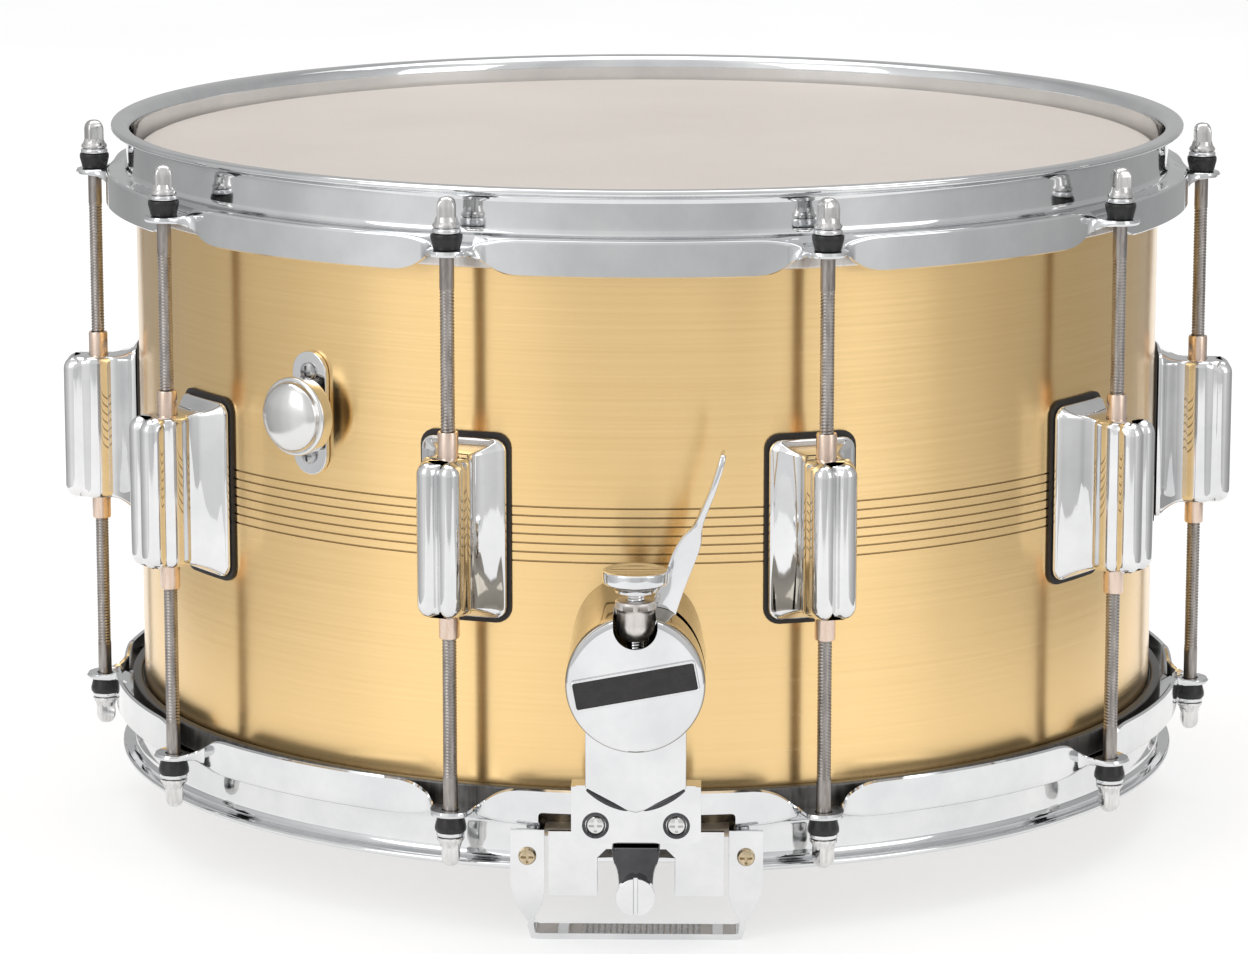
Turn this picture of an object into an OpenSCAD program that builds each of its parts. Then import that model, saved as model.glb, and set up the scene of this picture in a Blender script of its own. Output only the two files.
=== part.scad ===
/* [Shell] */
// Outer diameter of the brass shell
shell_d = 355.6; // [352:0.1:358]
// Height of the shell, from bearing edge to bearing edge
shell_h = 203.2; // [195:0.1:212]
// Wall thickness of the shell
shell_t = 1.3; // [1:0.1:1.6]
// Number of engraved lines around the shell
groove_count = 7; // [3:1:9]
// Distance between two engraved lines
groove_pitch = 2.95; // [2:0.05:4]
// Depth of an engraved line
groove_depth = 0.3; // [0.1:0.05:0.5]

/* [Hoops] */
// Height of the hoop's rim above the bearing edge
hoop_rise = 8.9; // [7:0.1:11]
// Outer radius of the hoop's rolled rim
rim_r = 186.1; // [185:0.1:188]
// Outer radius of the hoop's upright band
band_r = 180.9; // [180:0.1:181.5]
// Outer radius of the hoop's skirt
skirt_r = 188.1; // [187.5:0.1:189]
// Depth of the skirt's edge below the bearing edge
skirt_depth = 18.1; // [16:0.1:20]
// Half the width of the snare gate in the lower hoop
gate_half = 31.6; // [31:0.1:33]

/* [Lugs and tension rods] */
// Number of lugs around the shell
lug_count = 10; // [10]
// Radius of the circle that the rods stand on
rod_circle_r = 193.4; // [193:0.1:194]
// Diameter of a tension rod
rod_d = 4.8; // [4.4:0.1:5]
// Height of a lug's barrel
barrel_h = 50.6; // [46:0.1:54]
// Width of a lug's barrel
barrel_w = 15.8; // [14:0.1:17]
// Width of a lug's foot
foot_w = 28.6; // [26:0.1:30]
// Height of a lug's foot
foot_h = 58.6; // [54:0.1:62]
// Thickness of the gasket under a lug
gasket_t = 0.9; // [0.5:0.1:1.5]

/* [Strainer] */
// Radius of the strainer's round case
case_r = 22; // [20:0.1:23]
// Distance of the case's face from the drum's axis
face_y = 214; // [212:0.5:216]
// Height of the case's centre, measured from the shell's mid-height
case_z = -41.5; // [-43:0.5:-40]
// Width of the neck under the case
neck_w = 32; // [30:0.5:34]
// Radius of the height knob
height_knob_r = 10.5; // [9:0.1:11.5]
// Angle of the label plate
label_tilt = 10.4; // [0:0.1:15]
// Length of the throw-off lever, from its pivot
lever_reach = 76.6; // [70:0.1:80]

/* [Snare frame and guards] */
// Number of wires in the snare set
wire_count = 20; // [12:1:20]
// Distance between two wires
wire_pitch = 2; // [1.8:0.1:2]
// Half the width of the frame's end plate
end_half = 28; // [26:0.1:28.6]
// Depth of the guards below the lower hoop
guard_drop = 21; // [20:0.1:26]
// Radius of the slotted snare tension screw
tension_r = 6.2; // [5:0.1:6.5]

/* [Muffler] */
// Direction of the muffler, from the front of the drum
muffler_angle = -36.5; // [-40:0.5:-33]
// Height of the muffler knob's centre, from the shell's mid-height
muffler_z = 31.7; // [25:0.1:38]
// Radius of the muffler knob
muffler_knob_r = 12.9; // [11:0.1:14]

/* [Hidden] */
$fn = 64;

shell_r = shell_d / 2;
half_h = shell_h / 2;
rim_z = half_h + hoop_rise;
mid_z = rim_z + guard_drop;
lug_step = 360 / lug_count;
lug_angles = [for (i = [0 : lug_count - 1]) lug_step / 2 + i * lug_step];
rod_r = rod_d / 2;
gap = 0.05;

// The hoop's levels, from the shell's mid-height, for the upper hoop
hoop_t = 2.2;
shelf_z = half_h - 6.7;
skirt_z = half_h - skirt_depth;
ear_z = half_h - 10.1;
ear_r = 199.4;
ear_w = 14;
washer_h = 5.3;
washer_r = 5.1;
cup_h = 1.9;
washer_top = ear_z + washer_h;
cup_top = washer_top + cup_h;
rod_top = rim_z - 2.1;
nut_r = 3.3;
nut_h = 8.1;
rod_low = 19;

// The strainer's own places, seen from the front: x across, y out from the axis, z from mid-height
knob_y = 206;
lever_y = 199.5;
lever_t = 2;
neck_y = 206;
shoulder_y = 197;
shoulder_z = case_z + 25;
neck_end = 25.3;
plate_t = 1.6;
knob_top = -6;
carriage_y = 200;
frame_z = -half_h - 4.9;
end_y = 196;
screw_z = -half_h - 10.6;
bracket_z = [-half_h + 5.1, -half_h + 24.1];
carriage_hole = [12.85, -half_h + 11];
guard_y = 189;
strap_x = 35;
guard_screw_z = -half_h - 2.2;
gate_z = half_h - 11.1;
butt_y = 199.2;
butt_z = -half_h + 3.6;
rail_x = 24;

function rod_node(side, i) = str(side > 0 ? "top" : "bottom", "_tension_rod_", i + 1);
rod_nodes = [for (s = [1, -1], i = [0 : lug_count - 1]) rod_node(s, i)];

// ---- Shapes that several pieces share

// Points of an arc about a centre
function arc(c, r, a0, a1, n) =
  [for (i = [0 : n]) c + r * [cos(a0 + (a1 - a0) * i / n), sin(a0 + (a1 - a0) * i / n)]];

// Outline of a rectangle with round corners
function round_box(w, h, r, n = 5) = concat(
  arc([w / 2 - r, h / 2 - r], r, 0, 90, n),
  arc([r - w / 2, h / 2 - r], r, 90, 180, n),
  arc([r - w / 2, r - h / 2], r, 180, 270, n),
  arc([w / 2 - r, r - h / 2], r, 270, 360, n));

function mirrored(points) = [for (i = [len(points) - 1 : -1 : 0]) [points[i].x, -points[i].y]];

// Lifts a piece from the shell's mid-height to its place above the guards
module lifted() {
  translate([0, 0, mid_z])
    children();
}

// Turns a piece to a direction around the drum, where 0 is the front and the piece's -Y points out
module facing(angle) {
  rotate([0, 0, angle])
    children();
}

// One copy above and one, mirrored, below the shell's mid-height
module both_ends() {
  children();
  mirror([0, 0, 1])
    children();
}

// A flat plate drawn in X and Z, whose front is y_front from the axis and which goes back by depth
module front_plate(y_front, depth) {
  translate([0, depth - y_front, 0])
    rotate([90, 0, 0])
      linear_extrude(depth)
        children();
}

// A round bar along the way out from the axis, from distance r0 to r1
module radial_bar(x, z, r, r0, r1) {
  translate([x, -r0, z])
    rotate([90, 0, 0])
      cylinder(h = r1 - r0, r = r);
}

module tube(r_out, r_in, z0, h) {
  translate([0, 0, z0])
    difference() {
      cylinder(h = h, r = r_out);
      translate([0, 0, -1])
        cylinder(h = h + 2, r = r_in);
    }
}

// ---- Shell and heads

shell_profile = [
  [shell_r, half_h - 5.6], [shell_r - 0.3, half_h - 3.2], [shell_r - 1.2, half_h - 1.3],
  [shell_r - 2.6, half_h - 0.2], [shell_r - 3.4, half_h], [shell_r - 4.2, half_h - 0.3],
  [shell_r - 7.2, half_h - 3.3], [shell_r - 6.3, half_h - 4.2], [shell_r - 3.5, half_h - 1.5],
  [shell_r - 2.5, half_h - 1.8], [shell_r - 1.6, half_h - 3.2], [shell_r - shell_t, half_h - 5.6]
];

module shell() {
  color("#d8ae62")
    lifted()
      difference() {
        rotate_extrude($fn = 180)
          polygon(concat(shell_profile, mirrored(shell_profile)));
        for (i = [0 : groove_count - 1])
          tube(shell_r + 1, shell_r - groove_depth,
               -1.5 + (i - (groove_count - 1) / 2) * groove_pitch - 0.35, 0.7);
        for (a = lug_angles, z = [-20, 20])
          facing(a)
            radial_bar(0, z, 2.1, shell_r - 6, shell_r + 6);
        for (z = [-13.7, 13.7])
          facing(muffler_angle)
            radial_bar(0, muffler_z + z, 1.8, shell_r - 6, shell_r + 6);
        facing(muffler_angle)
          radial_bar(0, muffler_z, 3.4, shell_r - 6, shell_r + 6);
        for (x = [-9, 9], z = [-30, -72])
          radial_bar(x, z, 2.1, shell_r - 8, shell_r + 8);
        for (z = [-50, -74])
          facing(180)
            radial_bar(0, z, 2.1, shell_r - 6, shell_r + 6);
        facing(144)
          radial_bar(0, 0, 5.2, shell_r - 6, shell_r + 6);
      }
}

module vent_grommet() {
  color("#d9d9dc")
    lifted()
      facing(144)
        difference() {
          union() {
            radial_bar(0, 0, 5.05, shell_r - shell_t - 1.2, shell_r + 0.6);
            radial_bar(0, 0, 8.2, shell_r + 0.06, shell_r + 1.4);
          }
          radial_bar(0, 0, 3.5, shell_r - 8, shell_r + 8);
        }
}

// A drum head: a flat film whose collar turns down over the bearing edge to the flesh hoop
module head_film() {
  rotate_extrude($fn = 180)
    polygon([
      [0, half_h + 0.2], [shell_r - 3.4, half_h + 0.2], [shell_r - 2.4, half_h],
      [shell_r - 1, half_h - 1.1], [shell_r, half_h - 3], [shell_r + 0.3, half_h - 5.2],
      [shell_r + 0.3, half_h - 16.6], [shell_r + 0.8, half_h - 16.6], [shell_r + 0.8, half_h - 4.9],
      [shell_r + 0.4, half_h - 2.7], [shell_r - 0.6, half_h - 0.7], [shell_r - 2.1, half_h + 0.4],
      [shell_r - 3.4, half_h + 0.6], [0, half_h + 0.6]
    ]);
}

module flesh_hoop() {
  tube(shell_r + 4.3, shell_r + 0.9, half_h - 17.4, 8.4, $fn = 180);
}

module batter_head() {
  color("#efe8df")
    lifted()
      head_film();
}

module batter_flesh_hoop() {
  color("#d7cfc9")
    lifted()
      flesh_hoop();
}

module snare_head() {
  color("#f2f0ec", 0.6)
    lifted()
      mirror([0, 0, 1])
        head_film();
}

module snare_flesh_hoop() {
  color("#d7cfc9")
    lifted()
      mirror([0, 0, 1])
        flesh_hoop();
}

// ---- Hoops

hoop_profile = [
  [band_r - hoop_t, shelf_z], [band_r - hoop_t, rim_z - 4.1], [band_r - 1.5, rim_z - 1.9],
  [band_r + 0.5, rim_z], [rim_r - 0.7, rim_z], [rim_r, rim_z - 0.6], [rim_r, rim_z - 1.6],
  [rim_r - 0.7, rim_z - hoop_t], [band_r + 1.5, rim_z - hoop_t], [band_r + 0.3, rim_z - 3.1],
  [band_r, rim_z - 4.3], [band_r, shelf_z + 1.4], [band_r + 0.7, shelf_z + 0.3],
  [band_r + 2.1, shelf_z], [skirt_r - 2, shelf_z], [skirt_r - 0.5, shelf_z - 0.7],
  [skirt_r, shelf_z - 2.3], [skirt_r, skirt_z + 0.4], [skirt_r - 0.6, skirt_z],
  [skirt_r - 1.6, skirt_z], [skirt_r - hoop_t, skirt_z + 0.4], [skirt_r - hoop_t, shelf_z - 3.1],
  [skirt_r - 3, shelf_z - 2], [skirt_r - 4, shelf_z - hoop_t], [band_r - 0.1, shelf_z - hoop_t],
  [band_r - 1.7, shelf_z - 1.6]
];
scallop_r = 21.7;

// The hoop as it lies on the batter side: a rolled section, scalloped at each rod, with ten ears
module hoop() {
  difference() {
    union() {
      difference() {
        facing(lug_step / 2)
          rotate_extrude($fn = 120)
            polygon(hoop_profile);
        for (a = lug_angles)
          facing(a)
            radial_bar(0, ear_z - hoop_t - scallop_r, scallop_r, skirt_r - 6, skirt_r + 6);
      }
      for (a = lug_angles)
        facing(a)
          translate([0, 0, ear_z - hoop_t])
            linear_extrude(hoop_t)
              polygon(concat(
                [[-ear_w / 2 - 2, 1 - skirt_r], [-ear_w / 2, -skirt_r - 2]],
                arc([0, ear_w / 2 - ear_r], ear_w / 2, 180, 360, 16),
                [[ear_w / 2, -skirt_r - 2], [ear_w / 2 + 2, 1 - skirt_r]]));
    }
    for (a = lug_angles)
      facing(a)
        translate([0, -rod_circle_r, ear_z - 5])
          cylinder(h = 10, r = rod_r + 0.5);
  }
}

module top_hoop() {
  color("#e3e4e7")
    lifted()
      hoop();
}

// The snare side's hoop has two gates for the snare frame, and the guards' screw holes beside them
module bottom_hoop() {
  color("#e3e4e7")
    lifted()
      mirror([0, 0, 1])
        difference() {
          hoop();
          for (a = [0, 180])
            facing(a) {
              translate([-gate_half, -skirt_r - 8, gate_z])
                cube([2 * gate_half, 24, rim_z]);
              for (x = [-strap_x, strap_x])
                radial_bar(x, -guard_screw_z, 2.1, 170, 184);
            }
        }
}

// ---- Lugs

// Drawn flat in X and Z, with its face towards the front
module lug_foot(w, h, r, r0, r1) {
  front_plate(r1, r1 - r0)
    polygon(round_box(w, h, r));
}

module lug_casings() {
  color("#e6e7ea")
    lifted()
      for (a = lug_angles)
        facing(a)
          difference() {
            union() {
              lug_foot(foot_w, foot_h, 4, shell_r, shell_r + 3.2);
              lug_foot(foot_w - 6, foot_h - 6, 3, shell_r, shell_r + 5.4);
              lug_foot(foot_w - 14, foot_h - 12, 2, shell_r, shell_r + 10.4);
              translate([0, 0, -barrel_h / 2])
                linear_extrude(barrel_h)
                  translate([0, -shell_r - 18.4])
                    polygon(round_box(barrel_w, 18.4, 4));
            }
            translate([0, 0, -foot_h])
              cylinder(h = 2 * foot_h, r = shell_r + gasket_t + 2 * gap, $fn = 180);
            translate([0, -rod_circle_r, -foot_h])
              cylinder(h = 2 * foot_h, r = nut_r + 0.3);
            for (z = [-20, 20])
              radial_bar(0, z, 1.95, shell_r - 2, shell_r + 7);
          }
}

module lug_gaskets() {
  color("#1d1916")
    lifted()
      for (a = lug_angles)
        facing(a)
          difference() {
            intersection() {
              tube(shell_r + gasket_t + gap, shell_r + gap, -40, 80, $fn = 180);
              lug_foot(foot_w + 2, foot_h + 3.4, 5, shell_r - 4, shell_r + 4);
            }
            for (z = [-20, 20])
              radial_bar(0, z, 2.2, shell_r - 6, shell_r + 6);
          }
}

// Each lug is held by two screws from inside the shell
module lug_screws() {
  color("#b9bbc0")
    lifted()
      for (a = lug_angles, z = [-20, 20])
        facing(a)
          inner_screw(0, z, 1.85, shell_r + 6.5);
}

// A screw whose round head sits inside the shell
module inner_screw(x, z, r, reach) {
  radial_bar(x, z, r, shell_r - shell_t - 2.4, reach);
  radial_bar(x, z, 4, shell_r - shell_t - 2.8 - x * x / 300, shell_r - shell_t - 0.3 - x * x / 300);
}

// The spring inside each barrel, which keeps its two nuts apart
module lug_springs() {
  color("#9a9ca1")
    lifted()
      for (a = lug_angles)
        facing(a)
          translate([0, -rod_circle_r, 0])
            tube(nut_r + 0.1, nut_r - 0.6, -18, 36);
}

module swivel_nuts() {
  color("#dcc4b2")
    lifted()
      both_ends()
        for (a = lug_angles)
          facing(a)
            translate([0, -rod_circle_r, 0])
              tube(nut_r, rod_r + gap, rod_low + 0.5, barrel_h / 2 + nut_h - rod_low - 0.5);
}

module nylon_washers() {
  color("#191716")
    lifted()
      both_ends()
        for (a = lug_angles)
          facing(a)
            translate([0, -rod_circle_r, 0])
              tube(washer_r, rod_r + 0.3, ear_z + gap, washer_h - gap);
}

module cup_washers() {
  color("#dfe0e3")
    lifted()
      both_ends()
        for (a = lug_angles)
          facing(a)
            translate([0, -rod_circle_r, 0])
              tube(washer_r - 0.4, rod_r + 0.3, washer_top + gap, cup_h - gap);
}

// A square-headed tension rod, with the flange that bears on its washers
module tension_rod(side, i) {
  color("#c9c8c9")
    lifted()
      mirror([0, 0, side > 0 ? 0 : 1])
        facing(lug_angles[i])
          translate([0, -rod_circle_r, 0]) {
            translate([0, 0, rod_low])
              cylinder(h = cup_top - rod_low + 1, r = rod_r);
            translate([0, 0, cup_top + gap])
              rotate_extrude()
                polygon([[0, 0], [4.5, 0], [4.5, 1.1], [3.9, 1.9], [3.4, 3.2], [0, 3.2]]);
            intersection() {
              translate([-2.8, -2.8, cup_top])
                cube([5.6, 5.6, rod_top - cup_top]);
              translate([0, 0, cup_top])
                rotate_extrude()
                  polygon([[0, 0], [3.5, 0], [3.5, 7.6], [3, 8.8], [2.2, rod_top - cup_top],
                           [0, rod_top - cup_top]]);
            }
          }
}

// ---- Strainer

// The round case, its neck and the foot that lies on the shell
module strainer_housing() {
  color("#e4e5e8")
    lifted()
      difference() {
        union() {
          translate([0, 0, case_z])
            radial_bar(0, 0, case_r, shell_r - 4, face_y - 1);
          front_plate(neck_y, neck_y - shell_r)
            polygon(neck_outline());
          front_plate(shoulder_y, shoulder_y - shell_r + 4)
            polygon(shoulder_outline(0));
        }
        front_plate(shoulder_y - plate_t, shoulder_y - plate_t - shell_r + 6)
          polygon(shoulder_outline(plate_t));
        translate([0, 0, case_z])
          radial_bar(0, 0, case_r - plate_t, shell_r + 4, face_y + 1);
        front_plate(neck_y - plate_t, neck_y - plate_t - shell_r - 3)
          polygon([[plate_t - neck_w / 2, -half_h], [neck_w / 2 - plate_t, -half_h],
                   [neck_w / 2 - plate_t, case_z - 12], [plate_t - neck_w / 2, case_z - 12]]);
        translate([0, 0, -half_h - 20])
          cylinder(h = shell_h, r = shell_r + gap, $fn = 180);
        translate([0, 0, case_z])
          radial_bar(0, 0, 2.5 + gap, shell_r - 4, lever_y);
        translate([-neck_w, plate_t - neck_y, -half_h])
          cube([2 * neck_w, neck_y, neck_end]);
        height_notch();
        lever_slot();
        for (x = [-9, 9], z = [-30, -72])
          radial_bar(x, z, 1.95, shell_r - 8, shell_r + 8);
      }
}

function neck_outline() = [
  [-neck_w / 2, case_z - 8], [-neck_w / 2, -half_h + 24.5], [-8, -half_h + 18.6],
  [0, -half_h + 16.9], [8, -half_h + 18.6], [neck_w / 2, -half_h + 24.5], [neck_w / 2, case_z - 8]
];

// The case's shoulders, which rise towards the knob; inset draws the hollow inside them
function shoulder_outline(inset) = [
  [inset - 21.4, case_z + 7], [inset - 18.7, case_z + 14.5], [inset - 11.5, shoulder_z - inset],
  [11.5 - inset, shoulder_z - inset], [18.7 - inset, case_z + 14.5], [21.4 - inset, case_z + 7]
];

// The round-bottomed notch in the top of the case, where the height nut sits
module height_notch() {
  translate([0, 0, -23])
    radial_bar(0, 0, 7, knob_y - 7, face_y + 2);
  translate([-7, -face_y - 2, -23])
    cube([14, face_y - knob_y + 9, 16]);
}

// The opening in the case's side, through which the lever swings
module lever_slot() {
  translate([3, -lever_y - 2.6, case_z - 8])
    cube([30, 5.2, 46]);
}

module strainer_face() {
  color("#ebecee")
    lifted()
      difference() {
        translate([0, 0, case_z])
          radial_bar(0, 0, case_r, face_y - 0.95, face_y);
        height_notch();
      }
}

module label_plate() {
  color("#2b2826")
    lifted()
      translate([0, 0, case_z])
        rotate([0, -label_tilt, 0])
          front_plate(face_y + 1.3, 1.3 - gap)
            polygon(round_box(38.1, 9, 0.8));
}

// The lever swings on its hub like the hand of a clock; its upper half is turned on edge
module strainer_lever() {
  color("#e9eaec")
    lifted()
      translate([0, 0, case_z])
        difference() {
          union() {
            radial_bar(0, 0, 6, lever_y - lever_t / 2, lever_y + lever_t / 2);
            front_plate(lever_y + lever_t / 2, lever_t)
              polygon([[-3, 2], [4, -4], [10, 8], [14.8, 20], [24.2, 46], [20, 49], [15.6, 44],
                       [9, 24], [3, 8]]);
            front_plate(lever_y + 7, 8)
              polygon([[19.6, 44], [22.4, 43], [lever_reach * 0.372, lever_reach * 0.926],
                       [lever_reach * 0.34, lever_reach * 0.937]]);
          }
          radial_bar(0, 0, 2.5 + gap, lever_y - 5, lever_y + 5);
        }
}

module lever_pivot() {
  color("#b4b6ba")
    lifted()
      translate([0, 0, case_z]) {
        radial_bar(0, 0, 2.5, shell_r + 0.6, lever_y + 1.4);
        radial_bar(0, 0, 4, lever_y + 1.3, lever_y + 2.3);
      }
}

// Knob and threaded stem that set the height of the snare frame
module height_knob() {
  color("#e6e7ea")
    lifted()
      translate([0, -knob_y, 0])
        rotate_extrude()
          polygon([
            [0, knob_top], [height_knob_r - 0.6, knob_top], [height_knob_r, knob_top - 0.5],
            [height_knob_r, knob_top - 1.7], [height_knob_r - 1.2, knob_top - 3.4],
            [7.4, knob_top - 6.2], [6.6, knob_top - 7], [2.9, knob_top - 7], [2.9, -52.5], [0, -52.5]
          ]);
}

module height_nut() {
  color("#d6d7da")
    lifted()
      translate([0, -knob_y, 0])
        difference() {
          union() {
            intersection() {
              translate([0, 0, -23])
                sphere(r = 6.4);
              translate([-7, -7, -29.5])
                cube([14, 14, 11.5]);
            }
            translate([0, 0, -20])
              cylinder(h = 4.4, r = 5.2);
          }
          translate([0, 0, -40])
            cylinder(h = 40, r = 2.9 + gap);
        }
}

module strainer_screws() {
  color("#b9bbc0")
    lifted()
      for (x = [-9, 9], z = [-30, -72])
        inner_screw(x, z, 1.85, shell_r + 2.6);
}

// ---- The sliding carriage and the snare frame

// Saddle over the frame's end, with the riser that the knob's stem screws into
module snare_carriage() {
  color("#dedfe1")
    lifted()
      difference() {
        union() {
          front_plate(carriage_y, 2)
            translate([0, (bracket_z[0] + bracket_z[1]) / 2])
              polygon(round_box(41.2, bracket_z[1] - bracket_z[0], 2.4));
          translate([-20.6, -carriage_y, bracket_z[1] - 2.4])
            cube([41.2, 9.4, 2]);
          translate([-20.6, -carriage_y + 7.6, carriage_hole.y - 4])
            cube([41.2, 1.8, bracket_z[1] - carriage_hole.y + 2]);
          translate([-5.5, -carriage_y - 3.2, bracket_z[1] - 2.4])
            cube([11, 11, 31.8]);
          translate([-5.5, -knob_y - 4.6, -53.2])
            cube([11, 12, 5]);
        }
        translate([0, -knob_y, -60])
          cylinder(h = 20, r = 3.3);
        for (x = [-1, 1]) {
          radial_bar(x * carriage_hole.x, carriage_hole.y, 3.5, carriage_y - 1.2, carriage_y + 3);
          radial_bar(x * carriage_hole.x, carriage_hole.y, 2.05, carriage_y - 12, carriage_y + 3);
        }
      }
}

module carriage_screws() {
  color("#c7c8cb")
    lifted()
      for (x = [-1, 1]) {
        radial_bar(x * carriage_hole.x, carriage_hole.y, 2, carriage_y - 10.4, carriage_y - 1);
        radial_bar(x * carriage_hole.x, carriage_hole.y, 3.1, carriage_y - 1.15, carriage_y - 0.2);
      }
}

// The floating frame: two rails, a winged end plate, and a barrel on the rear hinge pin
module snare_frame() {
  color("#e1e2e5")
    lifted()
      difference() {
        union() {
          front_plate(end_y, 2)
            polygon([
              [-end_half, frame_z - 8.6], [-12.3, frame_z - 8.6], [-12.3, frame_z + 4.2],
              [-9.5, frame_z + 7], [9.5, frame_z + 7], [12.3, frame_z + 4.2],
              [12.3, frame_z - 8.6], [end_half, frame_z - 8.6], [end_half, frame_z + 12.8],
              [17.6, frame_z + 12.8], [17.6, frame_z + 20.4], [-17.6, frame_z + 20.4],
              [-17.6, frame_z + 12.8], [-end_half, frame_z + 12.8]]);
          front_plate(end_y + 7, 7.5)
            polygon([[-6.6, frame_z + 9], [6.6, frame_z + 9], [6.6, frame_z + 4], [4.6, frame_z - 1.5],
                     [4.6, frame_z - 9], [-4.6, frame_z - 9], [-4.6, frame_z - 1.5],
                     [-6.6, frame_z + 4]]);
          for (x = [-1, 1])
            translate([x * (rail_x + 1.75) - 1.75, 1 - end_y, frame_z - 3])
              cube([3.5, 2 * end_y - 2, 5]);
          translate([-end_half, end_y - 2, frame_z - 6])
            cube([2 * end_half, 2, 8]);
          translate([-13, end_y - 2, frame_z - 1])
            cube([26, 2, 12]);
          translate([-13, end_y - 1, butt_z - 1.5])
            cube([26, 3, 3]);
          translate([-13, butt_y, butt_z])
            rotate([0, 90, 0])
              cylinder(h = 26, r = 3.2);
        }
        translate([-20, butt_y, butt_z])
          rotate([0, 90, 0])
            cylinder(h = 40, r = 1.6 + gap);
        radial_bar(0, screw_z, 2.5 + gap, end_y - 6, end_y + 12);
        for (x = [-1, 1])
          radial_bar(x * carriage_hole.x, carriage_hole.y, 2.6, end_y - 6, end_y + 6);
      }
}

// The wires with the two plates that they are soldered to
module snare_wires() {
  wire_z = -half_h - 1.6;
  color("#cfd0d3")
    lifted() {
      for (i = [0 : wire_count - 1])
        translate([(i - (wire_count - 1) / 2) * wire_pitch, 164, wire_z])
          rotate([90, 0, 0])
            cylinder(h = 328, r = 0.8);
      for (a = [0, 180])
        facing(a)
          translate([-21, gap - end_y + 2, wire_z - 1.1])
            cube([42, 32, 1.6]);
    }
}

// Slotted screw that pulls the wires tight
module tension_screw() {
  color("#dcdcdd")
    lifted()
      difference() {
        union() {
          radial_bar(0, screw_z, 2.5, end_y - 8, end_y + 9);
          radial_bar(0, screw_z, tension_r, end_y + 7.1, end_y + 11.6);
        }
        translate([-0.7, -end_y - 14, screw_z - 8])
          cube([1.4, 4, 16]);
      }
}

// ---- Rear bracket

module butt_bracket() {
  color("#e1e2e5")
    lifted()
      difference() {
        union() {
          translate([-15, shell_r - 2, -half_h + 19.6])
            cube([30, 26, 37]);
          translate([0, 0, -half_h + 37])
            facing(180)
              radial_bar(0, 0, 13, shell_r + 20, 212);
          for (x = [-1, 1])
            translate([x * 15.6 - 1.6, 192, -half_h - 1])
              cube([3.2, 12, 30]);
        }
        translate([0, 0, -half_h])
          cylinder(h = shell_h, r = shell_r + gap, $fn = 180);
        translate([-12.4, shell_r + 4, -half_h + 10])
          cube([24.8, 18, 42]);
        translate([-30, butt_y, butt_z])
          rotate([0, 90, 0])
            cylinder(h = 60, r = 1.6 + gap);
        for (z = [-50, -74])
          facing(180)
            radial_bar(0, z, 1.95, shell_r - 8, shell_r + 12);
      }
}

module butt_pin() {
  color("#b4b6ba")
    lifted()
      translate([-19, butt_y, butt_z])
        rotate([0, 90, 0])
          cylinder(h = 38, r = 1.6);
}

module butt_screws() {
  color("#b9bbc0")
    lifted()
      facing(180)
        for (z = [-50, -74])
          inner_screw(0, z, 1.85, shell_r + 3.8);
}

// ---- Guards over the two snare gates

// One side of the guard: the strap that is screwed to the hoop, and the strip that curls to the bar
module guard_side() {
  front_plate(guard_y, 1.8)
    polygon([[strap_x - 5.5, -half_h + 6.4], [strap_x + 5.5, -half_h + 6.4],
             [strap_x + 5.5, -half_h - 11.4], [strap_x + 4.6, -half_h - 15.4],
             [strap_x + 2.5, -half_h - 20], [strap_x, -half_h - 23.8],
             [strap_x - 2, -half_h - 22.4], [strap_x - 4, -half_h - 17.4],
             [strap_x - 5.5, -half_h - 13.4]]);
  front_plate(guard_y, 11.5)
    polygon([[strap_x - 5.5, -half_h + 6.4], [strap_x - 3.8, -half_h + 6.4],
             [strap_x - 3.8, -half_h - 14], [strap_x - 3, -half_h - 17.4],
             [strap_x - 0.6, -half_h - 21.8], [strap_x, -half_h - 25.6],
             [strap_x - 1.2, -half_h - 29.6], [strap_x - 3.5, -rim_z - guard_drop],
             [0, -rim_z - guard_drop], [0, -rim_z - guard_drop + 2],
             [strap_x - 3.8, -rim_z - guard_drop + 2], [strap_x - 2.4, -half_h - 27.6],
             [strap_x - 2, -half_h - 25], [strap_x - 2.4, -half_h - 22.4],
             [strap_x - 4.7, -half_h - 18.4], [strap_x - 5.5, -half_h - 14.4]]);
  radial_bar(strap_x, guard_screw_z, 3.2, 178.2, guard_y - 1.7);
}

module snare_guards() {
  color("#e6e7ea")
    lifted()
      for (a = [0, 180])
        facing(a)
          difference() {
            union() {
              guard_side();
              mirror([1, 0, 0])
                guard_side();
            }
            for (x = [-strap_x, strap_x])
              radial_bar(x, guard_screw_z, 2.1, 170, guard_y + 2);
          }
}

module guard_screws() {
  color("#cdb795")
    lifted()
      for (a = [0, 180], x = [-strap_x, strap_x])
        facing(a) {
          radial_bar(x, guard_screw_z, 1.95, 174.5, guard_y + 1);
          radial_bar(x, guard_screw_z, 2.9, guard_y + gap, guard_y + 1.8);
        }
}

// ---- Muffler

module muffler_plate() {
  color("#dcdde0")
    lifted()
      facing(muffler_angle)
        translate([0, 0, muffler_z])
          difference() {
            front_plate(shell_r + 1.9, 1.8)
              polygon(round_box(14.2, 40.6, 7));
            radial_bar(0, 0, 3.3, shell_r - 2, shell_r + 4);
            for (z = [-13.7, 13.7])
              radial_bar(0, z, 1.7, shell_r - 2, shell_r + 4);
          }
}

module muffler_screws() {
  color("#d2d3d6")
    lifted()
      facing(muffler_angle)
        for (z = [-13.7, 13.7]) {
          radial_bar(0, muffler_z + z, 1.6, shell_r - 6.4, shell_r + 2.4);
          radial_bar(0, muffler_z + z, 3, shell_r + 1.9 + gap, shell_r + 3.6);
        }
}

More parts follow.
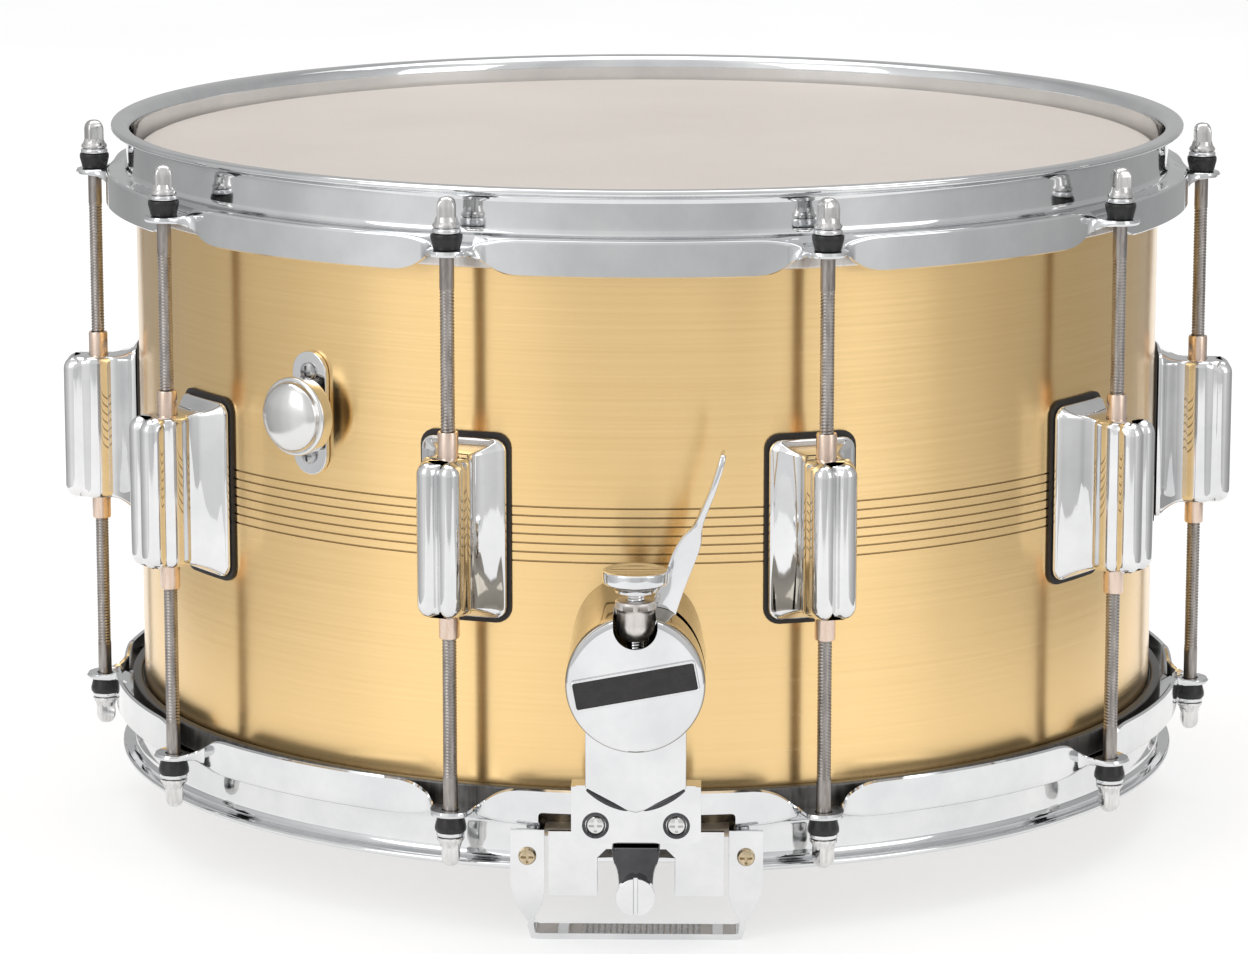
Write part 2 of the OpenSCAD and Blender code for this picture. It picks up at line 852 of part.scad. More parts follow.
// The knob outside with its shaft through the shell
module muffler_knob() {
  color("#dfe0e2")
    lifted()
      facing(muffler_angle)
        translate([0, -shell_r, muffler_z])
          rotate([90, 0, 0])
            rotate_extrude()
              polygon([
                [0, -13], [3.2, -13], [3.2, 4.6], [muffler_knob_r - 1.2, 4.6],
                [muffler_knob_r, 5.6], [muffler_knob_r, 9.4], [muffler_knob_r - 0.8, 10.4],
                [muffler_knob_r - 1.9, 10.8], [muffler_knob_r - 2, 12.6], [8.2, 14.3], [4.2, 15.2],
                [0, 15.5]
              ]);
}

// Inner plate with the two ears that carry the arm's pivot
module muffler_bracket() {
  color("#a9abb0")
    lifted()
      facing(muffler_angle)
        difference() {
          union() {
            translate([-11, 3.4 - shell_r, muffler_z - 18])
              cube([22, 1.6, 44]);
            for (x = [-9.4, 9.4])
              translate([x - 0.9, 3.4 - shell_r, muffler_z + 14])
                cube([1.8, 11, 12]);
          }
          translate([-20, 11 - shell_r, muffler_z + 20])
            rotate([0, 90, 0])
              cylinder(h = 40, r = 1.5 + gap);
          radial_bar(0, muffler_z, 3.3, shell_r - 9, shell_r);
          for (z = [-13.7, 13.7])
            radial_bar(0, muffler_z + z, 1.7, shell_r - 9, shell_r);
        }
}

// The arm turns on the bracket's pivot and lifts the pad to the batter head
module muffler_arm() {
  arm_y = 11 - shell_r;
  arm_z = muffler_z + 20;
  color("#b4b6ba")
    lifted()
      facing(muffler_angle) {
        translate([-11.5, arm_y, arm_z])
          rotate([0, 90, 0])
            cylinder(h = 23, r = 1.5);
        translate([-7, 0, 0])
          rotate([90, 0, 90])
            linear_extrude(14)
              polygon([[arm_y - 2, arm_z - 2], [arm_y + 2, arm_z - 2], [arm_y + 30, arm_z + 22.6],
                       [arm_y + 66, arm_z + 24.4], [arm_y + 66, arm_z + 25.8],
                       [arm_y + 29.4, arm_z + 24], [arm_y - 2, arm_z + 2]]);
      }
}

module muffler_pad() {
  color("#b9b2a6")
    lifted()
      facing(muffler_angle)
        translate([0, 61 - shell_r, muffler_z + 20 + 25.8 + gap])
          linear_extrude(11)
            polygon(round_box(44, 24, 4));
}

shell();
vent_grommet();
batter_head();
batter_flesh_hoop();
snare_head();
snare_flesh_hoop();
top_hoop();
bottom_hoop();
lug_casings();
lug_gaskets();
lug_screws();
lug_springs();
swivel_nuts();
cup_washers();
nylon_washers();
strainer_housing();
strainer_face();
label_plate();
strainer_lever();
lever_pivot();
height_knob();
height_nut();
strainer_screws();
snare_carriage();
carriage_screws();
snare_frame();
snare_wires();
tension_screw();
butt_bracket();
butt_pin();
butt_screws();
snare_guards();
guard_screws();
muffler_plate();
muffler_screws();
muffler_knob();
muffler_bracket();
muffler_arm();
muffler_pad();
for (side = [1, -1], i = [0 : lug_count - 1])
  tension_rod(side, i);
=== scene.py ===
import math

import bmesh
import bpy
import numpy as np
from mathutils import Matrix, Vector


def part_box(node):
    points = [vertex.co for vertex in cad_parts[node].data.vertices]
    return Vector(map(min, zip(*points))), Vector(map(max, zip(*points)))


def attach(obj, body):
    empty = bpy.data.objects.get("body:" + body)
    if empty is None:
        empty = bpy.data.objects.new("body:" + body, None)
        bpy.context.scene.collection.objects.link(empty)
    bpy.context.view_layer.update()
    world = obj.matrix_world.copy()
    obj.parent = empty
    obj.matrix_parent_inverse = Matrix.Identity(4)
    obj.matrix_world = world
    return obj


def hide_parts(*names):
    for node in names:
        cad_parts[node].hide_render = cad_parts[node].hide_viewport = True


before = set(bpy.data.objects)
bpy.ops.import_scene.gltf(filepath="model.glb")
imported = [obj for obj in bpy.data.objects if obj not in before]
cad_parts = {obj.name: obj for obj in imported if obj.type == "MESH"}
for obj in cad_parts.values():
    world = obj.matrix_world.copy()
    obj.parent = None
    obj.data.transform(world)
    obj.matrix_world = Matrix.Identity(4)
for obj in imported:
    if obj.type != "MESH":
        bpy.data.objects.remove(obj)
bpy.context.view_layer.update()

MM = 0.001
LUG_ANGLES = [18 + 36 * i for i in range(10)]


def box_mm(node):
    """A CAD node's lowest and highest corner in millimetres."""
    low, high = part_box(node)
    return np.array(low) / MM, np.array(high) / MM


# The drum's own measures, taken from the frame. Heights below are from the shell's mid-height.
shell_low, shell_high = box_mm("shell")
MID = (shell_low[2] + shell_high[2]) / 2
HALF = (shell_high[2] - shell_low[2]) / 2
R = (shell_high[0] - shell_low[0]) / 2
RIM = box_mm("top_hoop")[1][2] - MID
EAR_R = box_mm("top_hoop")[1][0]
ROD_R = sum(corner[0] for corner in box_mm("top_tension_rod_3")) / 2
BARREL_R = box_mm("lug_casings")[1][0]


# ---- Meshes: a mesh is (vertices, faces) in millimetres about the drum's axis and mid-height


def arc(cx, cy, r, a0, a1, n):
    """Points of an arc in a plane, angles in degrees."""
    angles = np.radians(np.linspace(a0, a1, n + 1))
    return [(cx + r * math.cos(a), cy + r * math.sin(a)) for a in angles]


def round_box(w, h, r, n=6):
    """Outline of a rectangle with round corners."""
    x, y = w / 2 - r, h / 2 - r
    return (
        arc(x, y, r, 0, 90, n)
        + arc(-x, y, r, 90, 180, n)
        + arc(-x, -y, r, 180, 270, n)
        + arc(x, -y, r, 270, 360, n)
    )


def fillet(corner, before, after, r, n=5):
    """Points that round off a corner between two neighbours."""
    p, a, b = (np.array(q, float) for q in (corner, before, after))
    u, v = (a - p) / np.linalg.norm(a - p), (b - p) / np.linalg.norm(b - p)
    half = math.acos(max(-1, min(1, float(u @ v)))) / 2
    start, end = p + u * r / math.tan(half), p + v * r / math.tan(half)
    t = np.linspace(0, 1, n + 1)[:, None]
    curve = (1 - t) ** 2 * start + 2 * t * (1 - t) * p + t**2 * end
    return [tuple(q) for q in curve]


def rounded(points, radii, n=5):
    """A closed outline whose corners are rounded, each by its own radius (0 keeps it sharp)."""
    out = []
    for i, p in enumerate(points):
        r = radii[i] if hasattr(radii, "__len__") else radii
        if r:
            out += fillet(p, points[i - 1], points[(i + 1) % len(points)], r, n)
        else:
            out.append(tuple(p))
    return out


def lathe(profile, n=96, closed=True):
    """Turns (radius, height) points about the vertical axis."""
    k = len(profile)
    a = np.linspace(0, 2 * math.pi, n, endpoint=False)
    rz = np.array(profile, float)
    v = np.stack(
        [
            np.outer(np.sin(a), rz[:, 0]),
            np.outer(-np.cos(a), rz[:, 0]),
            np.tile(rz[:, 1], (n, 1)),
        ],
        -1,
    ).reshape(-1, 3)
    f = [
        (i * k + j, i * k + (j + 1) % k, (i + 1) % n * k + (j + 1) % k, (i + 1) % n * k + j)
        for i in range(n)
        for j in range(k if closed else k - 1)
    ]
    return v, f


def skin(rings, cap=True):
    """Joins closed rings of equally many points, with a flat cap at each end."""
    k, m = len(rings[0]), len(rings)
    v = np.concatenate([np.array(r, float) for r in rings])
    f = [
        (i * k + j, i * k + (j + 1) % k, (i + 1) * k + (j + 1) % k, (i + 1) * k + j)
        for i in range(m - 1)
        for j in range(k)
    ]
    if cap:
        f += [tuple(range(k))[::-1], tuple(range((m - 1) * k, m * k))]
    return v, f


def plate(outline, y_front, depth):
    """A flat plate drawn in X and Z with its face at y_front from the axis."""
    ring = np.array(outline, float)
    rings = [
        np.stack([ring[:, 0], np.full(len(ring), -y), ring[:, 1]], -1) for y in (y_front - depth, y_front)
    ]
    return skin(rings)


def moved(m, x=0, y=0, z=0):
    return m[0] + np.array([x, y, z], float), m[1]


def facing(m, degrees):
    """Turns a mesh built at the front, towards -Y, to a direction around the drum."""
    c, s = math.cos(math.radians(degrees)), math.sin(math.radians(degrees))
    return m[0] @ np.array([[c, -s, 0], [s, c, 0], [0, 0, 1]]).T, m[1]


def outward(m):
    """Lays a mesh's upward axis down so that it points out of the drum's front."""
    v = m[0]
    return np.stack([v[:, 0], -v[:, 2], v[:, 1]], -1), m[1]


def upside_down(m):
    return m[0] * np.array([1, 1, -1]), [face[::-1] for face in m[1]]


def joined(meshes):
    vs, fs, at = [], [], 0
    for v, f in meshes:
        vs.append(v)
        fs += [tuple(i + at for i in face) for face in f]
        at += len(v)
    return np.concatenate(vs), fs


def around(m, angles=LUG_ANGLES):
    return joined([facing(m, a) for a in angles])


def both_ends(m):
    return joined([m, upside_down(m)])


def new_object(name, m, smooth=32):
    data = bpy.data.meshes.new(name)
    v = (m[0] + np.array([0, 0, MID])) * MM
    data.from_pydata([tuple(p) for p in v], [], m[1])
    bm = bmesh.new()
    bm.from_mesh(data)
    bmesh.ops.remove_doubles(bm, verts=bm.verts, dist=2e-6)
    bmesh.ops.dissolve_degenerate(bm, edges=bm.edges, dist=1e-7)
    bmesh.ops.recalc_face_normals(bm, faces=bm.faces)
    bm.to_mesh(data)
    bm.free()
    data.shade_smooth()
    data.set_sharp_from_angle(angle=math.radians(smooth))
    obj = bpy.data.objects.new(name, data)
    bpy.context.scene.collection.objects.link(obj)
    return obj


def settle(obj, smooth=None):
    """Applies an object's modifiers to its mesh."""
    graph = bpy.context.evaluated_depsgraph_get()
    data = bpy.data.meshes.new_from_object(obj.evaluated_get(graph))
    obj.modifiers.clear()
    obj.data = data
    if smooth:
        data.shade_smooth()
        data.set_sharp_from_angle(angle=math.radians(smooth))
    return obj


def cut(obj, m, operation="DIFFERENCE", smooth=32, solver="EXACT"):
    """Cuts a mesh out of an object, or joins it to it."""
    other = new_object("cutter", m)
    change = obj.modifiers.new("change", "BOOLEAN")
    change.operation, change.solver, change.object = operation, solver, other
    settle(obj, smooth)
    bpy.data.objects.remove(other)
    return obj


def soften(obj, width, segments=2, angle=38):
    """Rounds an object's sharp edges by a width in millimetres."""
    edge = obj.modifiers.new("edge", "BEVEL")
    edge.width, edge.segments, edge.limit_method = width * MM, segments, "ANGLE"
    edge.angle_limit = math.radians(angle)
    edge.use_clamp_overlap = True
    flat = obj.modifiers.new("flat", "WEIGHTED_NORMAL")
    flat.keep_sharp = True
    return settle(obj)


def as_mesh(obj):
    """An object's mesh as vertices in millimetres from mid-height, and faces; the object is removed."""
    v = np.array([p.co for p in obj.data.vertices]) / MM - np.array([0, 0, MID])
    f = [tuple(p.vertices) for p in obj.data.polygons]
    bpy.data.objects.remove(obj)
    return v, f


def finish_piece(obj, material, body="drum", replaces=()):
    obj.data.materials.clear()
    obj.data.materials.append(material)
    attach(obj, body)
    if replaces:
        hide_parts(*replaces)
    return obj


def refined(node, material, body="drum", width=0.3, segments=2, smooth=40):
    """A finer copy of a CAD node, its sharp edges rounded."""
    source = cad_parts[node]
    data = source.data.copy()
    data.name = node + "_fine"
    obj = bpy.data.objects.new(node + "_fine", data)
    bpy.context.scene.collection.objects.link(obj)
    bm = bmesh.new()
    bm.from_mesh(data)
    bmesh.ops.remove_doubles(bm, verts=bm.verts, dist=1e-6)
    bmesh.ops.dissolve_limit(bm, angle_limit=math.radians(0.6), verts=bm.verts, edges=bm.edges)
    bm.to_mesh(data)
    bm.free()
    for name in ("custom_normal", "sharp_edge", "sharp_face"):
        layer = data.attributes.get(name)
        if layer is not None:
            data.attributes.remove(layer)
    data.shade_smooth()
    data.set_sharp_from_angle(angle=math.radians(smooth))
    if width:
        soften(obj, width, segments)
    return finish_piece(obj, material, body, [node])


# ---- Materials


class Nodes:
    """A small helper around one material's node tree."""

    def __init__(self, name):
        self.material = bpy.data.materials.new(name)
        self.material.use_nodes = True
        self.tree = self.material.node_tree
        self.shader = self.tree.nodes["Principled BSDF"]
        self.output = self.tree.nodes["Material Output"]
        coords = self.tree.nodes.new("ShaderNodeTexCoord")
        self.place = coords.outputs["Object"]

    def add(self, kind, **inputs):
        node = self.tree.nodes.new("ShaderNode" + kind)
        for key, value in inputs.items():
            name = key.replace("_", " ")
            if name in node.inputs:
                if hasattr(value, "links"):
                    self.tree.links.new(value, node.inputs[name])
                else:
                    node.inputs[name].default_value = value
            else:
                setattr(node, key, value)
        return node

    def link(self, a, b):
        self.tree.links.new(a, b)

    def set(self, **inputs):
        for key, value in inputs.items():
            socket = self.shader.inputs[key.replace("_", " ")]
            if hasattr(value, "links"):
                self.link(value, socket)
            else:
                socket.default_value = value

    def stretched(self, x=1, y=1, z=1):
        scale = self.add("Mapping", Scale=(x, y, z))
        self.link(self.place, scale.inputs["Vector"])
        return scale.outputs[0]

    def cylindrical(self, across, up):
        """Coordinates that run around the drum and up it, in units of 1/across and 1/up metres."""
        split = self.add("SeparateXYZ", Vector=self.place)
        angle = self.math("ARCTAN2", split.outputs[1], split.outputs[0])
        return self.add(
            "CombineXYZ",
            X=self.math("MULTIPLY", angle, R * MM * across),
            Y=self.math("MULTIPLY", split.outputs[2], up),
        ).outputs[0]

    def noise(self, where, scale, detail=4, rough=0.55):
        return self.add("TexNoise", Vector=where, Scale=scale, Detail=detail, Roughness=rough).outputs[0]

    def math(self, operation, a, b=0.0):
        node = self.tree.nodes.new("ShaderNodeMath")
        node.operation = operation
        for socket, value in zip(node.inputs, (a, b)):
            if hasattr(value, "links"):
                self.link(value, socket)
            else:
                socket.default_value = value
        return node.outputs[0]

    def between(self, value, low, high, at=(0.3, 0.7)):
        """Maps a value from one span to a span of numbers."""
        node = self.add("MapRange")
        self.link(value, node.inputs[0])
        for i, number in enumerate((at[0], at[1], low, high)):
            node.inputs[i + 1].default_value = number
        return node.outputs[0]

    def blend(self, value, a, b, at=(0.35, 0.65)):
        ramp = self.tree.nodes.new("ShaderNodeValToRGB")
        self.link(value, ramp.inputs[0])
        for element, where, colour in zip(ramp.color_ramp.elements, at, (a, b)):
            element.position = where
            element.color = (*colour, 1)
        return ramp.outputs[0]

    def bump(self, height, strength, distance):
        node = self.add("Bump", Strength=strength, Distance=distance)
        self.link(height, node.inputs["Height"])
        self.link(node.outputs[0], self.shader.inputs["Normal"])


def from_axis(n):
    """A point's distance from the drum's axis, and its height, in metres."""
    x, y, z = n.add("SeparateXYZ", Vector=n.place).outputs
    return n.math("SQRT", n.math("ADD", n.math("MULTIPLY", x, x), n.math("MULTIPLY", y, y))), z


def mixed(n, share, a, b):
    """Colour a where the share is 0 and the fixed colour b where it is 1."""
    node = n.add("Mix", data_type="RGBA")
    n.link(share, node.inputs[0])
    n.link(a, node.inputs[6])
    node.inputs[7].default_value = (*b, 1)
    return node.outputs[2]


def brass():
    """Brushed brass, with painted shade in the turned lines round the middle."""
    n = Nodes("lacquered_brass")
    brushed = n.noise(n.cylindrical(6, 900), 1.0, 5, 0.6)
    clouds = n.noise(n.place, 7, 3)
    tone = n.math("ADD", n.math("MULTIPLY", brushed, 0.55), n.math("MULTIPLY", clouds, 0.45))
    radius, z = from_axis(n)
    below_skin = n.math("LESS_THAN", radius, (R - 0.06) * MM)
    outside_wall = n.math("GREATER_THAN", radius, (R - 0.6) * MM)
    near = n.math("LESS_THAN", n.math("ABSOLUTE", n.math("SUBTRACT", z, MID * MM)), 12 * MM)
    # Painted shade: the turned lines round the middle are coloured dark brown.
    painted_line_shade = n.math("MULTIPLY", n.math("MULTIPLY", below_skin, outside_wall), near)
    clean = n.blend(tone, (0.90, 0.62, 0.28), (0.975, 0.70, 0.35), (0.3, 0.7))
    n.set(
        Base_Color=mixed(n, painted_line_shade, clean, (0.40, 0.28, 0.13)),
        Metallic=1.0,
        Roughness=n.between(tone, 0.22, 0.28),
        Anisotropic=0.85,
        Anisotropic_Rotation=0.25,
        Coat_Weight=0.15,
        Coat_Roughness=0.05,
    )
    tangent = n.tree.nodes.new("ShaderNodeTangent")
    tangent.direction_type, tangent.axis = "RADIAL", "Z"
    n.link(tangent.outputs[0], n.shader.inputs["Tangent"])
    n.bump(brushed, 0.03, 0.0002)
    return n.material


def chrome(name, low=(0.70, 0.705, 0.715), high=(0.82, 0.822, 0.83), rough=(0.03, 0.075), wave=0.02):
    """Plated metal with faint smears and a very slight unevenness."""
    n = Nodes(name)
    smear = n.noise(n.place, 38, 5, 0.6)
    swell = n.noise(n.place, 24, 2, 0.4)
    n.set(
        Base_Color=n.blend(smear, low, high, (0.35, 0.7)),
        Metallic=1.0,
        Roughness=n.between(smear, rough[0], rough[1]),
    )
    n.bump(swell, wave, 0.002)
    return n.material


def steel(name, low, high, rough=(0.2, 0.34)):
    n = Nodes(name)
    grain = n.noise(n.stretched(900, 900, 120), 1, 3)
    n.set(Base_Color=n.blend(grain, low, high), Metallic=1.0, Roughness=n.between(grain, rough[0], rough[1]))
    n.bump(grain, 0.08, 0.0001)
    return n.material


def coated_film():
    n = Nodes("coated_film")
    grain = n.noise(n.place, 1500, 3, 0.7)
    clouds = n.noise(n.place, 9, 3)
    n.set(
        Base_Color=n.blend(clouds, (0.59, 0.525, 0.47), (0.64, 0.575, 0.52), (0.3, 0.7)),
        Roughness=n.between(grain, 0.42, 0.6),
        Subsurface_Weight=0.05,
    )
    n.bump(grain, 0.25, 0.0002)
    return n.material


def clear_film():
    """Hazy clear film, with painted shade on the collar that is tucked into the flesh hoop."""
    n = Nodes("clear_film")
    haze = n.noise(n.place, 14, 4)
    # Painted shade: the collar, beyond the shell's radius, is coloured near black.
    collar = n.math("GREATER_THAN", from_axis(n)[0], (R + 0.2) * MM)
    open_film = n.blend(haze, (0.80, 0.79, 0.76), (0.90, 0.89, 0.87))
    n.set(
        Base_Color=mixed(n, collar, open_film, (0.05, 0.048, 0.045)),
        Roughness=n.between(haze, 0.1, 0.22),
        Alpha=0.45,
        IOR=1.5,
    )
    n.bump(haze, 0.05, 0.001)
    return n.material


def plastic(name, low, high, rough=(0.35, 0.5), grain_scale=700, strength=0.15):
    n = Nodes(name)
    grain = n.noise(n.place, grain_scale, 4)
    n.set(Base_Color=n.blend(grain, low, high), Roughness=n.between(grain, rough[0], rough[1]))
    n.bump(grain, strength, 0.0002)
    return n.material


def felt():
    n = Nodes("grey_felt")
    fibres = n.noise(n.stretched(1, 1, 2.5), 420, 8, 0.75)
    tufts = n.noise(n.place, 60, 3)
    mixed = n.math("ADD", n.math("MULTIPLY", fibres, 0.6), n.math("MULTIPLY", tufts, 0.4))
    n.set(
        Base_Color=n.blend(mixed, (0.30, 0.27, 0.23), (0.52, 0.48, 0.42)),
        Roughness=0.95,
        Sheen_Weight=0.4,
        Sheen_Roughness=0.5,
    )
    n.bump(fibres, 0.6, 0.0008)
    return n.material


BRASS = brass()
CHROME = chrome("polished_chrome")
HOOP_CHROME = chrome("hoop_chrome", (0.68, 0.69, 0.70), (0.78, 0.785, 0.79), (0.04, 0.09), 0.03)
LUG_CHROME = chrome("lug_chrome", (0.72, 0.722, 0.728), (0.84, 0.84, 0.842), (0.03, 0.07), 0.04)
SATIN = chrome("satin_chrome", (0.70, 0.70, 0.69), (0.80, 0.80, 0.79), (0.14, 0.2))
# Painted shade: near-black chrome for edges, holes and a block that sit in shade.
SHADE_CHROME = chrome("shaded_chrome", (0.05, 0.05, 0.055), (0.11, 0.11, 0.115), (0.06, 0.12))
# Painted reflection: the case is tinted dark gold for the shaded brass shell that it reflects.
CASE_REFLECTION_CHROME = chrome("case_painted_reflection", (0.30, 0.275, 0.235), (0.42, 0.39, 0.34))
HEAD_STEEL = steel("plated_heads", (0.62, 0.61, 0.60), (0.78, 0.77, 0.76), (0.1, 0.2))
ROD = steel("rod_steel", (0.27, 0.245, 0.23), (0.42, 0.39, 0.37), (0.26, 0.4))
SHANK = steel("zinc_steel", (0.42, 0.42, 0.43), (0.58, 0.58, 0.58))
NUT = steel("pink_brass", (0.70, 0.54, 0.44), (0.82, 0.67, 0.57), (0.22, 0.34))
# Painted shade: the snare side's flesh ring is coloured near black for the shadow it sits in.
SHADED_RING = steel("painted_shade_ring", (0.10, 0.10, 0.10), (0.17, 0.165, 0.16), (0.35, 0.5))
BRASSY = steel("dull_brass", (0.46, 0.36, 0.22), (0.66, 0.55, 0.38), (0.2, 0.35))
ALUMINIUM = steel("satin_aluminium", (0.66, 0.62, 0.59), (0.76, 0.73, 0.70), (0.3, 0.45))
WIRE = steel("bright_wire", (0.55, 0.55, 0.55), (0.72, 0.72, 0.72), (0.18, 0.3))
RUBBER = plastic("black_rubber", (0.012, 0.010, 0.009), (0.028, 0.023, 0.02), (0.5, 0.7))
NYLON = plastic("black_nylon", (0.006, 0.006, 0.006), (0.016, 0.015, 0.015), (0.3, 0.45))
BLANK = plastic("blank_panel", (0.010, 0.009, 0.009), (0.02, 0.018, 0.018), (0.2, 0.32), 300, 0.05)
FELT = felt()
FILM = coated_film()
CLEAR = clear_film()


# ---- Shell, heads and flesh hoops

edge_curve = [
    (R, HALF - 5.6), (R - 0.15, HALF - 4.4), (R - 0.5, HALF - 3), (R - 1.2, HALF - 1.5),
    (R - 2.1, HALF - 0.5), (R - 3, HALF - 0.06), (R - 3.6, HALF), (R - 4.3, HALF - 0.35),
    (R - 5.3, HALF - 1.3), (R - 7.2, HALF - 3.3), (R - 6.4, HALF - 4.2), (R - 4.5, HALF - 2.3),
    (R - 3.5, HALF - 1.55), (R - 2.7, HALF - 1.9), (R - 1.9, HALF - 3.2), (R - 1.4, HALF - 5),
    (R - 1.3, HALF - 6.6),
]
lines = []
for i in range(7):
    z = -1.5 + (i - 3) * 2.95
    lines += [(R, z - 0.3), (R - 0.3, z - 0.14), (R - 0.3, z + 0.14), (R, z + 0.3)]
profile = edge_curve[::-1][:-1] + [(R, z) for z in np.linspace(HALF - 5.6, 12, 6)] + lines[::-1]
profile += [(R, z) for z in np.linspace(-15, 5.6 - HALF, 6)] + [(r, -z) for r, z in edge_curve[1:]]
shell = new_object("shell_spun", lathe(profile, 360), 20)
cut(
    shell, facing(outward(moved(lathe([(0, 160), (5.2, 160), (5.2, 190), (0, 190)], 48, False))), 144),
    smooth=20
)
finish_piece(shell, BRASS, replaces=["shell"])

collar = [
    (0, 0.6), (120, 0.6), (170, 0.6), (173, 0.55), (174.7, 0.3), (176, -0.3), (177, -1.2),
    (177.75, -2.4), (178.25, -4.2), (178.55, -6.6), (178.6, -16.6), (178.2, -16.6), (178.15, -6.6),
    (177.9, -4.8), (177.4, -3), (176.6, -1.5), (175.5, -0.55), (174, 0), (170, 0.2), (0, 0.2),
]
film = lathe([(r, HALF + z) for r, z in collar], 256, False)
finish_piece(new_object("batter_film", film), FILM, replaces=["batter_head"])
finish_piece(new_object("snare_film", upside_down(film)), CLEAR, replaces=["snare_head"])

band = rounded([(R + 1, HALF - 17.4), (R + 4.3, HALF - 17.4), (R + 4.3, HALF - 9), (R + 1, HALF - 9)], 0.9, 4)
ring = lathe(band, 256)
finish_piece(
    new_object("batter_flesh_ring", ring), ALUMINIUM, replaces=["batter_flesh_hoop"]
)
# The snare side's ring gets the painted shade colour.
finish_piece(
    new_object("snare_flesh_ring", upside_down(ring)), SHADED_RING,
    replaces=["snare_flesh_hoop"]
)


# ---- Hoops: a rolled section whose skirt turns outwards into an ear at each rod

SKIRT_R = R + 10.3
SHELF = HALF - 6.7
SKIRT_Z = HALF - 18.1
EAR_Z = HALF - 10.1
SHEET = 1.7


def smoothstep(t):
    t = min(1.0, max(0.0, t))
    return t * t * (3 - 2 * t)


def flap(s):
    """The hoop's skirt or ear, outer line then inner, at a distance s along the hoop from a rod."""
    s = abs(s)
    turn = (1 - min(1, max(0, (s - 6.2) / 17))) ** 2.6
    tab = EAR_R - 6.6 + math.sqrt(max(0, 43.6 - s * s)) if s < 6.6 else EAR_R - 6.6 - (s - 6.6) * 1.1
    tip = max(SKIRT_R, tab) * turn + SKIRT_R * (1 - turn)
    low = EAR_Z * turn + SKIRT_Z * (1 - turn)
    start = (SKIRT_R - 4.6, SHELF)
    corner = (SKIRT_R + 0.6 * turn, SHELF - (SHELF - EAR_Z - 0.2) * turn * 0.92)
    end = (max(tip, SKIRT_R), min(low, corner[1] - 0.02))
    line = [start] + fillet(corner, start, end, 1.15 + 1.3 * turn, 6)
    last = np.array(line[-1])
    line += [tuple(last + (np.array(end) - last) * t) for t in (0.3, 0.6, 0.85, 1.0)]
    line = np.array(line)
    step = np.gradient(line, axis=0)
    step /= np.linalg.norm(step, axis=1)[:, None]
    normal = np.stack([step[:, 1], -step[:, 0]], -1)
    inner = line + normal * SHEET
    nose = (line[-1] + inner[-1]) / 2 + step[-1] * SHEET * 0.32
    return [tuple(p) for p in line] + [tuple(nose)] + [tuple(p) for p in inner[::-1]]


def hoop_section(s):
    top = [(R + 1.3, SHELF - 1.4), (R + 1.0, SHELF - 0.2), (R + 1.0, RIM - 6)]
    for t in np.linspace(0, math.pi / 2, 9):
        top.append((R + 1.0 + 3.4 * (1 - math.cos(t)), RIM - 4.4 + 4.4 * math.sin(t)))
    top += [(R + 6.0, RIM), (R + 7.1, RIM)]
    top += [
        (R + 7.2 + 1.1 * math.sin(t), RIM - 1.1 + 1.1 * math.cos(t)) for t in np.linspace(0.25, math.pi, 9)
    ]
    top += [
        (R + 5.6, RIM - 2.2), (R + 4.5, RIM - 2.4), (R + 3.7, RIM - 3.0), (R + 3.2, RIM - 3.9),
        (R + 3.1, RIM - 5.2)
    ]
    top += [(R + 3.1, z) for z in np.linspace(RIM - 7, SHELF + 2.2, 4)]
    top += [(R + 3.25, SHELF + 1.1), (R + 3.8, SHELF + 0.35), (R + 4.6, SHELF)]
    return top + flap(s) + [(R + 3.4, SHELF - 1.75), (R + 2.0, SHELF - 1.7)]


def hoop_mesh():
    angles = []
    for a in LUG_ANGLES:
        offsets = np.concatenate(
            [np.linspace(-6.6, 6.6, 49), np.linspace(7.2, 23, 32), -np.linspace(7.2, 23, 32)]
        )
        angles += list(a + np.degrees(offsets / SKIRT_R))
        angles += list(np.linspace(a + 7.6, a + 36 - 7.6, 20))
    angles = sorted(x % 360 for x in angles)
    rings = []
    for a in angles:
        nearest = min(((a - b + 180) % 360 - 180 for b in LUG_ANGLES), key=abs)
        section = np.array(hoop_section(math.radians(nearest) * SKIRT_R))
        t = math.radians(a)
        rings.append(np.stack([section[:, 0] * math.sin(t), -section[:, 0] * math.cos(t), section[:, 1]], -1))
    v, f = skin(rings + [rings[0]], cap=False)
    return v, f


hoop = new_object("top_hoop_rolled", hoop_mesh(), 50)
hole = around(
    moved(lathe([(0, EAR_Z - 6), (2.9, EAR_Z - 6), (2.9, EAR_Z + 6), (0, EAR_Z + 6)], 24, False), y=-ROD_R)
)
cut(hoop, hole, smooth=50)
lower = new_object(
    "bottom_hoop_rolled", upside_down(as_mesh(bpy.data.objects.new("copy", hoop.data.copy()))), 50
)
for side in (0, 180):
    opening = [(-31.6, -90.5), (31.6, -90.5), (31.6, -120), (-31.6, -120)]
    gate = moved(plate(rounded(opening, (1.5, 1.5, 0, 0)), 197, 30))
    cut(lower, facing(gate, side), smooth=50, solver="FAST")
finish_piece(hoop, HOOP_CHROME, replaces=["top_hoop"])
finish_piece(lower, HOOP_CHROME, replaces=["bottom_hoop"])


# ---- Lugs


